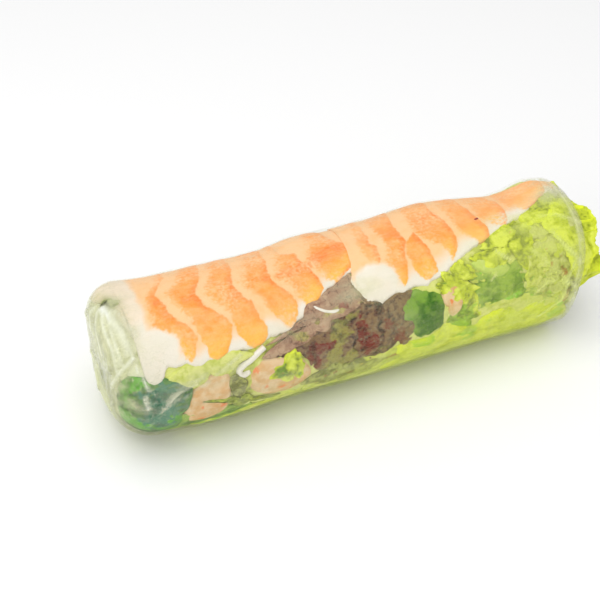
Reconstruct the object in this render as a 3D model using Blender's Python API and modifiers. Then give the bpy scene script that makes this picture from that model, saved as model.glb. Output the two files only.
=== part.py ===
"""A rice paper roll: a clear wrapper folded shut at one end, two butterflied prawns lying along
its top, and salad, cucumber, crab stick and noodle packed under them and out of the open end.

The roll lies along X, with its folded end at -X, its front at -Y and its flat underside on Z = 0.
Every piece is placed by three measures of the roll itself: the length along it, the angle round
it (0 degrees at the front, 90 on top), and the depth under its skin.
"""

import math

import bmesh
import bpy

MM = 0.001

# The roll as a whole, by length along it
FOLDED_END = -3.6 * MM
OPENING = 146.6 * MM
FRILL_REACH = 9.6 * MM
CENTRE = 0.5 * (FOLDED_END + OPENING + FRILL_REACH)
WIDTH_AT_FOLD = 46.6 * MM
WIDTH_AT_OPENING = 44.6 * MM
HEIGHT_AT_FOLD = 42.4 * MM
HEIGHT_AT_OPENING = 43.6 * MM
SQUARENESS = 2.25
UNDERSIDE_SETTLE = 1.1 * MM

# The wrapper
PAPER = 0.6 * MM
GAP = 0.4 * MM
UNDER_PAPER = PAPER + GAP
END_ROUNDING = 6.0 * MM
END_ROUNDING_LOW = (-50, 45, 6.0 * MM)
END_ROUNDING_BEHIND = (182, 32, 6.5 * MM)
PLEATS = 9
PLEAT_DEPTH = 0.7 * MM
OPENING_TUCK = 0.07
OPENING_TUCK_LENGTH = 6.5 * MM
TUCK_START = OPENING - OPENING_TUCK_LENGTH
CRIMPS = 9
CRIMP_DEPTH = 0.35 * MM
ROUND_SIDES = 36
BODY_RINGS = 18
END_RINGS = 7

# Where the filling pushes the skin out or lets it sink:
# length along, angle, reach along, reach round, rise
SWELLINGS = (
    (28 * MM, 128, 15 * MM, 40, -0.8 * MM),
    (47 * MM, 128, 7 * MM, 34, -0.8 * MM),
    (62 * MM, 128, 5 * MM, 30, 0.6 * MM),
    (66 * MM, 62, 6 * MM, 14, -0.8 * MM),
    (79 * MM, 72, 8 * MM, 26, 0.7 * MM),
    (102 * MM, 122, 8 * MM, 40, 1.3 * MM),
    (128 * MM, 120, 7 * MM, 34, -1.6 * MM),
    (143 * MM, 110, 6 * MM, 40, 1.3 * MM),
    (6 * MM, -52, 9 * MM, 22, -1.3 * MM),
    (50 * MM, -55, 9 * MM, 20, -0.8 * MM),
    (100 * MM, -55, 40 * MM, 20, -0.8 * MM),
    (22 * MM, -12, 9 * MM, 18, 0.5 * MM),
    (44 * MM, -8, 10 * MM, 16, 0.4 * MM),
    (89 * MM, 12, 9 * MM, 18, 0.6 * MM),
    (30 * MM, 190, 16 * MM, 40, 0.4 * MM),
    (84 * MM, 176, 18 * MM, 34, 0.5 * MM),
    (120 * MM, 200, 12 * MM, 40, -0.4 * MM),
)

# Prawns: each margin is a run of (length along, angle)
PRAWN_THICKNESS = 5.4 * MM
PRAWN_EDGE = 1.7 * MM
PRAWN_CORE = 7.2 * MM
PLATE_STEP = 0.45 * MM
LOBE_DEPTH = 2.6
PRAWN_PLATES = 7
LEFT_PRAWN_LOWER = (
    (3.6 * MM, 46), (7 * MM, 33), (12 * MM, 30), (22 * MM, 33), (36 * MM, 34), (46 * MM, 37),
    (56 * MM, 48), (64 * MM, 56), (70.4 * MM, 67),
)
LEFT_PRAWN_UPPER = (
    (3.6 * MM, 98), (9 * MM, 114), (22 * MM, 124), (40 * MM, 134), (56 * MM, 134), (70.4 * MM, 126),
)
LEFT_PLATES = (8.5 * MM, 9.2 * MM)
RIGHT_PRAWN_LOWER = (
    (71.4 * MM, 44), (74 * MM, 36), (82 * MM, 38), (90 * MM, 42), (101 * MM, 53), (110 * MM, 62),
    (129 * MM, 72), (138 * MM, 85), (143.2 * MM, 95),
)
RIGHT_PRAWN_UPPER = (
    (71.4 * MM, 122), (78 * MM, 130), (92 * MM, 130), (106 * MM, 122), (119 * MM, 112),
    (132 * MM, 111), (143.2 * MM, 107),
)
RIGHT_PLATES = (76.5 * MM, 9.9 * MM)

# Pieces seen through the front: first and last length, lowest and highest angle, depth, thickness
CRAB_LEFT = ((13.0 * MM, 28.5 * MM), (-31, 17), UNDER_PAPER + 0.9 * MM, 5.6 * MM)
CRAB_MIDDLE = ((32.0 * MM, 53.5 * MM), (-25, 20), UNDER_PAPER + 0.9 * MM, 5.6 * MM)
CRAB_SLIVER = ((95.2 * MM, 99.6 * MM), (6, 33), UNDER_PAPER + 0.9 * MM, 4.6 * MM)
CUCUMBER_WEDGE = ((76.5 * MM, 94.8 * MM), (-6, 34), UNDER_PAPER + 1.4 * MM, 5.0 * MM)
CUCUMBER_SLICE = ((105.5 * MM, 117.0 * MM), (27, 47), UNDER_PAPER + 1.0 * MM, 2.4 * MM)
DARK_LEAF = ((-9.0 * MM, 12.4 * MM), (-33, 30), UNDER_PAPER + 0.3 * MM, 1.3 * MM)
RED_LEAF = ((54.0 * MM, 76.0 * MM), UNDER_PAPER + 2.4 * MM, 2.0 * MM)
RED_LEAF_FOOT = -16
RED_LEAF_CLEAR = 4.0
LETTUCE_SCRAP = ((39.5 * MM, 51.5 * MM), (-8, 17), UNDER_PAPER, 0.6 * MM)
LETTUCE_STRIP = ((16.5 * MM, 30.5 * MM), (20, 28), UNDER_PAPER, 0.9 * MM)
LETTUCE_FRILL = ((96.5 * MM, 104.5 * MM), (33, 44), UNDER_PAPER, 1.2 * MM)

# Salad core: how far under the skin it stays where something else lies over it
CORE_SINK = 8.4 * MM
CORE_MARGIN_ALONG = 7.5 * MM
CORE_MARGIN_ROUND = 18
CORE_RIPPLE = 0.5 * MM
CORE_START = 0.2 * MM
CORE_SIDES = 32
CORE_RINGS = 22
FRILL_RINGS = 6
FRILL_WAVES = 7
FRILL_RUFFLE = 0.14
FRILL_JUT = 1.4 * MM
COVERED = (
    (-12 * MM, 74 * MM, 26, 142),
    (66 * MM, 108 * MM, 30, 138),
    (104 * MM, 138 * MM, 62, 122),
    (-12 * MM, 102 * MM, -36, 50),
    (100 * MM, 118 * MM, 26, 70),
)

# Noodles: length along, angle, extra depth
NOODLE_RADIUS = 1.0 * MM
NOODLE_DEPTH = UNDER_PAPER + NOODLE_RADIUS + 0.1 * MM
STRAND = ((39.5, 26, 0), (36, 22, 0), (32.5, 18.5, 0), (30.3, 16.2, 0), (30.2, 12, 0), (31.2, 8, 0))
CURL = ((51.5, 33.0, 0), (54, 34.5, 0), (56.5, 37.5, 0), (59, 41.5, 0.3), (61.5, 43.5, 0.8))

COLOURS = {
    "rice_paper": (0.86, 0.86, 0.72, 0.25),
    "prawn": (0.96, 0.47, 0.20, 0.45),
    "green_lettuce": (0.45, 0.56, 0.07, 0.55),
    "red_lettuce": (0.20, 0.08, 0.07, 0.55),
    "cucumber": (0.09, 0.22, 0.04, 0.35),
    "cucumber_flesh": (0.55, 0.66, 0.30, 0.35),
    "dark_leaf": (0.13, 0.27, 0.10, 0.45),
    "crab_stick": (0.85, 0.50, 0.30, 0.5),
    "rice_noodle": (0.85, 0.82, 0.72, 0.35),
}

PAPER_ALPHA = 0.3


def blend(start, end, share):
    """A value part of the way from start to end, eased at both."""
    share = min(max(share, 0.0), 1.0)
    return start + (end - start) * share * share * (3.0 - 2.0 * share)


def along_run(run, length):
    """The angle of a margin at a length along the roll, from the run's own points."""
    if length <= run[0][0]:
        return run[0][1]
    for (before, low), (after, high) in zip(run, run[1:]):
        if length <= after:
            return low + (high - low) * (length - before) / (after - before)
    return run[-1][1]


def turned(angle, about):
    """The angle measured from another one, between -180 and 180 degrees."""
    return (angle - about + 180.0) % 360.0 - 180.0


def bell(distance, reach):
    """A rounded bump of height 1."""
    return math.exp(-0.5 * (distance / reach) ** 2)


def swelling(length, angle):
    """How far the skin stands out of the plain tube."""
    return sum(
        rise * bell(length - at_length, reach_along) * bell(turned(angle, at_angle), reach_round)
        for at_length, at_angle, reach_along, reach_round, rise in SWELLINGS
    )


def middle_height(length):
    """Height of the roll's middle line above what it lies on."""
    share = min(max(length / OPENING, 0.0), 1.0)
    return 0.5 * (HEIGHT_AT_FOLD + (HEIGHT_AT_OPENING - HEIGHT_AT_FOLD) * share)


def radius_at(length, angle):
    """Distance from the roll's middle line to its skin."""
    share = min(max(length / OPENING, 0.0), 1.0)
    half_width = 0.5 * (WIDTH_AT_FOLD + (WIDTH_AT_OPENING - WIDTH_AT_FOLD) * share)
    half_height = middle_height(length)
    sine = math.sin(math.radians(angle))
    cosine = math.cos(math.radians(angle))
    if sine < 0:
        half_height += UNDERSIDE_SETTLE
    across = abs(cosine / half_width) ** SQUARENESS
    upright = abs(sine / half_height) ** SQUARENESS
    plain = (across + upright) ** (-1.0 / SQUARENESS)
    tuck = min(max(0.0, (length - TUCK_START) / OPENING_TUCK_LENGTH), 1.0)
    crimp = CRIMP_DEPTH * math.sin(math.radians(CRIMPS * angle)) * tuck
    return (plain + swelling(length, angle)) * (1.0 - OPENING_TUCK * tuck) + crimp


def end_rounding(angle):
    """Radius of the bend from the tube into the folded end: wider low in front and behind."""
    return END_ROUNDING + sum(
        more * bell(turned(angle, corner), reach)
        for corner, reach, more in (END_ROUNDING_LOW, END_ROUNDING_BEHIND)
    )


def end_middle(angle):
    """The length that stands for the middle of the folded end, at the foot of its folds."""
    bend = end_rounding(angle)
    return FOLDED_END + bend - 0.5 * math.pi * bend - (radius_at(FOLDED_END + bend, angle) - bend)


def skin_point(length, angle, depth):
    """A point under the skin, in metres.

    A length short of the end's rounding runs round the bend and then in towards the middle of
    the folded end.
    """
    bend = end_rounding(angle)
    bend_start = FOLDED_END + bend
    out = radius_at(max(length, bend_start), angle)
    if length >= bend_start:
        along, across = length, out
        lean_along, lean_across = 0.0, 1.0
    else:
        turn = min((bend_start - length) / bend, 0.5 * math.pi)
        across = out - bend * (1.0 - math.cos(turn))
        across -= max(0.0, bend_start - length - 0.5 * math.pi * bend)
        along = FOLDED_END + bend * (1.0 - math.sin(turn))
        lean_along, lean_across = -math.sin(turn), math.cos(turn)
        near = max(0.0, 1.0 - across / out)
        pleat = math.sin(math.radians(PLEATS * angle + 160.0 * near)) * math.sin(math.pi * near)
        along += PLEAT_DEPTH * (1.0 + pleat) * math.sin(math.pi * min(2.0 * near, 1.0) / 2.0)
    along -= depth * lean_along
    across = max(across - depth * lean_across, 0.0)
    sine = math.sin(math.radians(angle))
    cosine = math.cos(math.radians(angle))
    height = middle_height(along) + across * sine
    return (along - CENTRE, -across * cosine, max(height, depth))


def add_material(name):
    """A plain material in the piece's own colour, see-through for the paper."""
    material = bpy.data.materials.get(name)
    if material is None:
        red, green, blue, roughness = COLOURS[name]
        material = bpy.data.materials.new(name)
        material.use_nodes = True
        shader = material.node_tree.nodes["Principled BSDF"]
        shader.inputs["Base Color"].default_value = (red, green, blue, 1.0)
        shader.inputs["Roughness"].default_value = roughness
        shader.inputs["Metallic"].default_value = 0.0
        shader.inputs["Alpha"].default_value = PAPER_ALPHA if name == "rice_paper" else 1.0
    return material


def add_piece(name, mesh, material_name, collection):
    """Puts a finished bmesh into the scene as one named object."""
    data = bpy.data.meshes.new(name)
    mesh.to_mesh(data)
    mesh.free()
    data.materials.append(add_material(material_name))
    data.shade_smooth()
    data.set_sharp_from_angle(angle=math.radians(50))
    piece = bpy.data.objects.new(name, data)
    collection.objects.link(piece)
    return piece


def round_body(sides, rings, place, open_end=False):
    """A sphere whose every point goes where place(ring, angle) says: ring 0 is its left pole."""
    mesh = bmesh.new()
    bmesh.ops.create_uvsphere(mesh, u_segments=sides, v_segments=rings, radius=1.0)
    right_pole = []
    for vertex in mesh.verts:
        x, y, z = vertex.co
        ring = round(math.acos(max(-1.0, min(1.0, -z))) / math.pi * rings)
        if ring == rings:
            right_pole.append(vertex)
        vertex.co = place(ring, math.degrees(math.atan2(-y, x)))
    if open_end:
        bmesh.ops.delete(mesh, geom=right_pole, context="VERTS")
    return mesh


def bent_slab(name, parts, place, material_name, collection):
    """A block whose every point goes where place(u, v, w) says.

    u runs along the roll and v round it, both from 0 to 1. w is 1 on the outer side and 0 on the
    inner one. parts is how many squares it has each way.
    """
    mesh = bmesh.new()
    bmesh.ops.create_cube(mesh, size=1.0)
    for axis in (0, 1):
        edges = [
            edge
            for edge in mesh.edges
            if abs(edge.verts[0].co[axis] - edge.verts[1].co[axis]) > 0.5
        ]
        bmesh.ops.subdivide_edges(mesh, edges=edges, cuts=parts[axis] - 1, use_grid_fill=True)
    for vertex in mesh.verts:
        x, y, z = vertex.co
        vertex.co = place(x + 0.5, y + 0.5, z + 0.5)
    bmesh.ops.triangulate(mesh, faces=mesh.faces[:])
    return add_piece(name, mesh, material_name, collection)


def patch(span, angles, top, thickness, edge=0.35, roundness=0.0, waves=0, wave_depth=0.0):
    """Placing for a bent slab that is thinner at its rim.

    Args:
        span: first and last length along the roll.
        angles: lowest and highest angle, or a function of the length that returns them.
        top: depth of its outer side.
        thickness: at its middle.
        edge: share of the thickness that the rim keeps.
        roundness: how far, from 0 to 1, the corners are drawn in to an oval.
        waves: how many times the rim goes in and out.
        wave_depth: how far it does, as a share of the patch.
    """

    def place(u, v, w):
        x, y = 2.0 * u - 1.0, 2.0 * v - 1.0
        rim = max(abs(x), abs(y))
        oval_x = x * math.sqrt(1.0 - 0.5 * y * y)
        oval_y = y * math.sqrt(1.0 - 0.5 * x * x)
        x, y = x + (oval_x - x) * roundness, y + (oval_y - y) * roundness
        draw_in = 0.5 * wave_depth * rim * (1.0 - math.cos(waves * math.atan2(y, x)))
        length = span[0] + (span[1] - span[0]) * (1.0 + x * (1.0 - draw_in)) / 2.0
        low, high = angles(length) if callable(angles) else angles
        angle = low + (high - low) * (1.0 + y * (1.0 - draw_in)) / 2.0
        body = thickness * (1.0 - (1.0 - edge) * rim ** 3)
        drop = 0.3 * (thickness - body)
        return skin_point(length, angle, top + drop + (0.0 if w > 0.5 else body))

    return place


def add_prawn(name, lower, upper, plates, collection):
    """One butterflied prawn, laid with its back outwards, its plates stepped and its rim lobed."""
    start, finish = lower[0][0], lower[-1][0]
    first_plate, plate_length = plates

    def place(u, v, w):
        length = start + (finish - start) * u
        low, high = along_run(lower, length), along_run(upper, length)
        across = 2.0 * v - 1.0
        plate = (length - first_plate) / plate_length
        on_plates = 0.0 < plate < PRAWN_PLATES
        lobe = abs(math.sin(math.pi * plate)) if on_plates else 0.0
        angle = low + (high - low) * v + LOBE_DEPTH * lobe * across ** 3
        rim = max(across * across, (2.0 * u - 1.0) ** 8)
        step = PLATE_STEP * (plate % 1.0) * (1.0 - rim) if on_plates else 0.0
        body = PRAWN_EDGE + (PRAWN_THICKNESS - PRAWN_EDGE) * math.sqrt(max(0.0, 1.0 - rim))
        depth = UNDER_PAPER + step + 0.5 * MM * rim
        return skin_point(length, angle, depth + (0.0 if w > 0.5 else body))

    return bent_slab(name, (28, 8), place, "prawn", collection)


def add_wrapper(collection):
    """The rice paper: one skin, gathered shut at the left end and open at the right."""

    def place(ring, angle):
        bend_start = FOLDED_END + end_rounding(angle)
        if ring < END_RINGS:
            length = end_middle(angle) + (bend_start - end_middle(angle)) * ring / END_RINGS
        else:
            share = (ring - END_RINGS) / (BODY_RINGS - 1)
            length = bend_start + (TUCK_START - bend_start) * share if share <= 1.0 else OPENING
        return skin_point(length, angle, 0.0)

    mesh = round_body(ROUND_SIDES, END_RINGS + BODY_RINGS + 1, place, open_end=True)
    skin = add_piece("rice_paper_wrapper", mesh, "rice_paper", collection)
    wall = skin.modifiers.new("paper thickness", "SOLIDIFY")
    wall.thickness = PAPER
    wall.offset = -1.0
    return skin


def covered(length, angle):
    """How far the salad gives way to the pieces over it, from 0 to 1."""
    sink = 0.0
    for first, last, low, high in COVERED:
        along = min(length - first, last - length) / CORE_MARGIN_ALONG
        around = 0.5 * (high - low) - abs(turned(angle, 0.5 * (low + high)))
        sink = max(sink, blend(0.0, 1.0, 1.0 + min(along, around / CORE_MARGIN_ROUND, 0.0)))
    return sink


def add_salad(collection):
    """Lettuce and herbs packed round the middle, ending in a frilled tuft past the opening."""
    body_end = OPENING - 1.0 * MM

    def place(ring, angle):
        if ring <= CORE_RINGS:
            share = ring / (CORE_RINGS - 1)
            length = CORE_START + (TUCK_START - CORE_START) * share if share <= 1.0 else body_end
            close = math.sqrt(1.0 - max(0.0, 1.0 - 6.0 * share) ** 2)
            ripple = math.sin(math.radians(5 * angle) + length / (5.5 * MM))
            depth = UNDER_PAPER + CORE_RIPPLE * (1.0 + ripple)
            depth += (CORE_SINK - depth) * covered(length, angle)
            out = (radius_at(length, angle) - depth) * close
        else:
            share = (ring - CORE_RINGS) / FRILL_RINGS
            front = 0.5 + 0.5 * math.cos(math.radians(turned(angle, 35)))
            wave = math.sin(math.radians(FRILL_WAVES * angle) + 2.2 * share)
            reach = FRILL_REACH - 0.6 * FRILL_JUT - 0.5 * FRILL_REACH * (1.0 - front)
            length = OPENING + reach * math.sqrt(min(share * 1.6, 1.0))
            length += FRILL_JUT * wave * math.sin(math.pi * share)
            full = radius_at(OPENING, angle) - UNDER_PAPER - CORE_RIPPLE
            out = full * (1.0 - share ** 1.7) * (1.0 + FRILL_RUFFLE * wave * share)
        sine = math.sin(math.radians(angle))
        cosine = math.cos(math.radians(angle))
        height = max(middle_height(length) + out * sine, UNDER_PAPER + CORE_RIPPLE)
        return (length - CENTRE, -out * cosine, height)

    mesh = round_body(CORE_SIDES, CORE_RINGS + FRILL_RINGS, place)
    return add_piece("salad_filling", mesh, "green_lettuce", collection)


def red_leaf_angles(length):
    """The red leaf reaches from low on the front up to the prawns' lower margins."""
    prawn_edge = min(along_run(LEFT_PRAWN_LOWER, length), along_run(RIGHT_PRAWN_LOWER, length))
    if LEFT_PRAWN_LOWER[-1][0] < length < RIGHT_PRAWN_LOWER[0][0]:
        prawn_edge = RIGHT_PRAWN_LOWER[0][1]
    return RED_LEAF_FOOT, prawn_edge - RED_LEAF_CLEAR


def add_front_pieces(collection):
    """What shows through the front of the wrapper under the prawns."""
    slabs = (
        ("crab_stick_left", (6, 7), patch(*CRAB_LEFT, roundness=0.35), "crab_stick"),
        ("crab_stick_middle", (8, 7), patch(*CRAB_MIDDLE, roundness=0.45), "crab_stick"),
        ("crab_stick_sliver", (3, 5), patch(*CRAB_SLIVER, roundness=0.6), "crab_stick"),
        ("cucumber_wedge", (6, 6), patch(*CUCUMBER_WEDGE, roundness=0.4), "cucumber"),
        ("cucumber_slice", (6, 4), patch(*CUCUMBER_SLICE, roundness=0.8), "cucumber_flesh"),
        ("dark_leaf", (10, 9), patch(*DARK_LEAF, 0.5, 0.7), "dark_leaf"),
        ("lettuce_scrap", (6, 5), patch(*LETTUCE_SCRAP, 0.5, 0.8, 5, 0.16), "green_lettuce"),
        ("lettuce_strip", (7, 3), patch(*LETTUCE_STRIP, 0.5, 0.5), "green_lettuce"),
        ("lettuce_frill", (6, 4), patch(*LETTUCE_FRILL, 0.5, 0.7, 6, 0.12), "green_lettuce"),
    )
    for name, parts, place, material_name in slabs:
        bent_slab(name, parts, place, material_name, collection)
    span, depth, thickness = RED_LEAF
    place = patch(span, red_leaf_angles, depth, thickness, 0.5, 0.25, 9, 0.12)
    bent_slab("red_lettuce_leaf", (9, 10), place, "red_lettuce", collection)


def add_noodle(name, route, collection):
    """A short length of round rice noodle just under the paper."""
    curve = bpy.data.curves.new(name, "CURVE")
    curve.dimensions = "3D"
    curve.bevel_depth = NOODLE_RADIUS
    curve.bevel_resolution = 2
    curve.use_fill_caps = True
    line = curve.splines.new("POLY")
    line.points.add(len(route) - 1)
    for point, (length, angle, extra) in zip(line.points, route):
        point.co = (*skin_point(length * MM, angle, NOODLE_DEPTH + extra * MM), 1.0)
    curve.materials.append(add_material("rice_noodle"))
    piece = bpy.data.objects.new(name, curve)
    collection.objects.link(piece)
    return piece


def main():
    """Clears the scene and models the roll."""
    for old in list(bpy.data.objects):
        bpy.data.objects.remove(old, do_unlink=True)
    roll = bpy.data.collections.new("rice_paper_roll")
    bpy.context.scene.collection.children.link(roll)
    add_wrapper(roll)
    add_salad(roll)
    add_prawn("prawn_left", LEFT_PRAWN_LOWER, LEFT_PRAWN_UPPER, LEFT_PLATES, roll)
    add_prawn("prawn_right", RIGHT_PRAWN_LOWER, RIGHT_PRAWN_UPPER, RIGHT_PLATES, roll)
    add_front_pieces(roll)
    add_noodle("noodle_strand", STRAND, roll)
    add_noodle("noodle_curl", CURL, roll)


main()
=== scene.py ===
"""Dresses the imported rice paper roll: clear wet wrapper, banded prawns and the salad under it.

Every piece is placed on the roll itself, by its length along it in millimetres, its angle round
it in degrees (0 at the front, 90 on top) and its depth under the skin in millimetres.
"""

import logging
import math
from dataclasses import dataclass
from enum import Enum
from functools import cache

import bpy
import numpy as np
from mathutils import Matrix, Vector


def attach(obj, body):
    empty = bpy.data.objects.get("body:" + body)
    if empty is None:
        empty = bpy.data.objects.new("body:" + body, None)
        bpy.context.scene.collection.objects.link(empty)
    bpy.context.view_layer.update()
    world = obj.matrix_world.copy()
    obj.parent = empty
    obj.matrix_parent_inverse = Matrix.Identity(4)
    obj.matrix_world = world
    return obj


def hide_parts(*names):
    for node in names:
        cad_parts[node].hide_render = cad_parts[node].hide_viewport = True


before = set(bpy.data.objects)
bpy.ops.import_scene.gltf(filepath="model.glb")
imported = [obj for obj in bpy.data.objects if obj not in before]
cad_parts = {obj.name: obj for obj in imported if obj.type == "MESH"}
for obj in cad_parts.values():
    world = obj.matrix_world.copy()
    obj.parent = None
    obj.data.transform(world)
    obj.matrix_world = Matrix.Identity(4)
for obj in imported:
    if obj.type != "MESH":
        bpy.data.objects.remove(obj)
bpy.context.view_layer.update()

MM = 0.001
GIRTH = 0.385  # millimetres of skin for each degree round the roll
LOG = logging.getLogger("rice_paper_roll")
Array = np.ndarray
Run = tuple[tuple[float, float], ...]
Piece = bpy.types.Object
Material = bpy.types.Material
Socket = bpy.types.NodeSocket
NodeTree = bpy.types.NodeTree
Triple = tuple[float, float, float]
Colour = Triple

SEED_SHIFT = 17.3  # how far apart the noise of two seeds is read, in lumps
SEED_STRIDE = 97
CLOUD_GAIN = 1.6  # brings the noise to about -1 to 1
CELL_OFFSET = 4096  # keeps the cells' numbers above zero
CELL_PRIMES = np.array([374761393, 668265263, 2246822519], np.uint32)
MIXING_PRIME = np.uint32(1274126177)
LARGEST_HASH = 4294967295.0


# Shapes in numbers


def smooth(low: float, high: float, value: Array) -> Array:
    """A soft step from 0 at low to 1 at high."""
    share = np.clip((value - low) / (high - low), 0.0, 1.0)
    return share * share * (3.0 - 2.0 * share)


def bell(distance: Array, reach: float) -> Array:
    """A rounded bump of height 1."""
    return np.exp(-0.5 * (distance / reach) ** 2)


def turned(angle: Array, about: float) -> Array:
    """The angle measured from another one, between -180 and 180 degrees."""
    return (angle - about + 180.0) % 360.0 - 180.0


def along_run(run: Run, length: Array) -> Array:
    """The value of a run of (length, value) points at some lengths, straight between them."""
    return np.interp(length, [point[0] for point in run], [point[1] for point in run])


def ringed(way: Array, reach: Array | float, level: float) -> Array:
    """Points on a flat ring, by their direction, for noise that closes round it."""
    return np.stack([np.cos(way) * reach, np.sin(way) * reach, np.full(len(way), level)], axis=-1)


def hashed(cell: Array, key: int) -> Array:
    """An even number from 0 to 1 for each cell of a grid, the same each run."""
    mixed = (cell * CELL_PRIMES).sum(axis=1, dtype=np.uint32) + np.uint32(key)
    mixed = (mixed ^ (mixed >> np.uint32(13))) * MIXING_PRIME
    return (mixed ^ (mixed >> np.uint32(16))) / LARGEST_HASH


def cloud(spots: Array, grain: float, seed: int, octaves: int = 3) -> Array:
    """Cloudy noise that is the same each run.

    Args:
        spots: points in millimetres, (n, 3).
        grain: size of its largest lumps, in millimetres.
        seed: picks one cloud out of many.
        octaves: how many layers it has, each twice as fine as the one before.

    Returns:
        Values from about -1 to 1.
    """
    total = np.zeros(len(spots))
    weight, most = 1.0, 0.0
    for octave in range(octaves):
        scaled = spots / grain * 2.0**octave + SEED_SHIFT * seed
        whole = np.floor(scaled).astype(np.int64)
        part = smooth(0.0, 1.0, scaled - whole)
        layer = np.zeros(len(spots))
        for corner in range(8):
            bits = np.array([corner & 1, corner >> 1 & 1, corner >> 2 & 1])
            cell = (whole + bits + CELL_OFFSET).astype(np.uint32)
            share = np.prod(np.where(bits, part, 1.0 - part), axis=1)
            layer += share * hashed(cell, seed * SEED_STRIDE + octave)
        total += weight * (2.0 * layer - 1.0)
        most += weight
        weight *= 0.5
    return total / most * CLOUD_GAIN


def warped(spots: Array, grain: float, seed: int, share: float = 0.3) -> Array:
    """Points pushed about by a cloud, so that a pattern on them winds."""
    pushes = [cloud(spots, grain, seed + 11 + axis, 2) for axis in range(3)]
    return spots + share * grain * np.stack(pushes, axis=-1)


def puckered(spots: Array, grain: float, seed: int) -> Array:
    """Puffy cells with narrow valleys between them, as on a lettuce leaf, from 0 to 1."""
    bent = warped(spots, grain, seed)
    layers = ((1.0, 1.0), (0.35, 0.45), (0.16, 0.2))
    puffs = sum(
        height * np.abs(cloud(bent, size * grain, seed + order, 1))
        for order, (height, size) in enumerate(layers)
    )
    return np.clip(puffs, 0.0, 1.2) / 1.2


@dataclass(frozen=True)
class Spot:
    """A soft patch on the roll, for a swelling, a lump, a tint or haze.

    Attributes:
        length: of its middle.
        angle: of its middle.
        reach_along: how far it spreads along the roll, in millimetres.
        reach_round: how far it spreads round the roll, in degrees.
        amount: its strength, or its height in millimetres.
    """

    length: float
    angle: float
    reach_along: float
    reach_round: float
    amount: float = 1.0

    def near(self, length: Array, angle: Array) -> Array:
        """How strongly it shows at some places."""
        there = bell(length - self.length, self.reach_along)
        return self.amount * there * bell(turned(angle, self.angle), self.reach_round)


def patches(*rows: tuple[float, ...]) -> tuple[Spot, ...]:
    """Spots, each from a row with its numbers in turn."""
    return tuple(Spot(*row) for row in rows)


def gathered(spots: tuple[Spot, ...], length: Array, angle: Array) -> Array:
    """How strongly some spots show together."""
    return sum((spot.near(length, angle) for spot in spots), np.zeros(len(length)))


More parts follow.
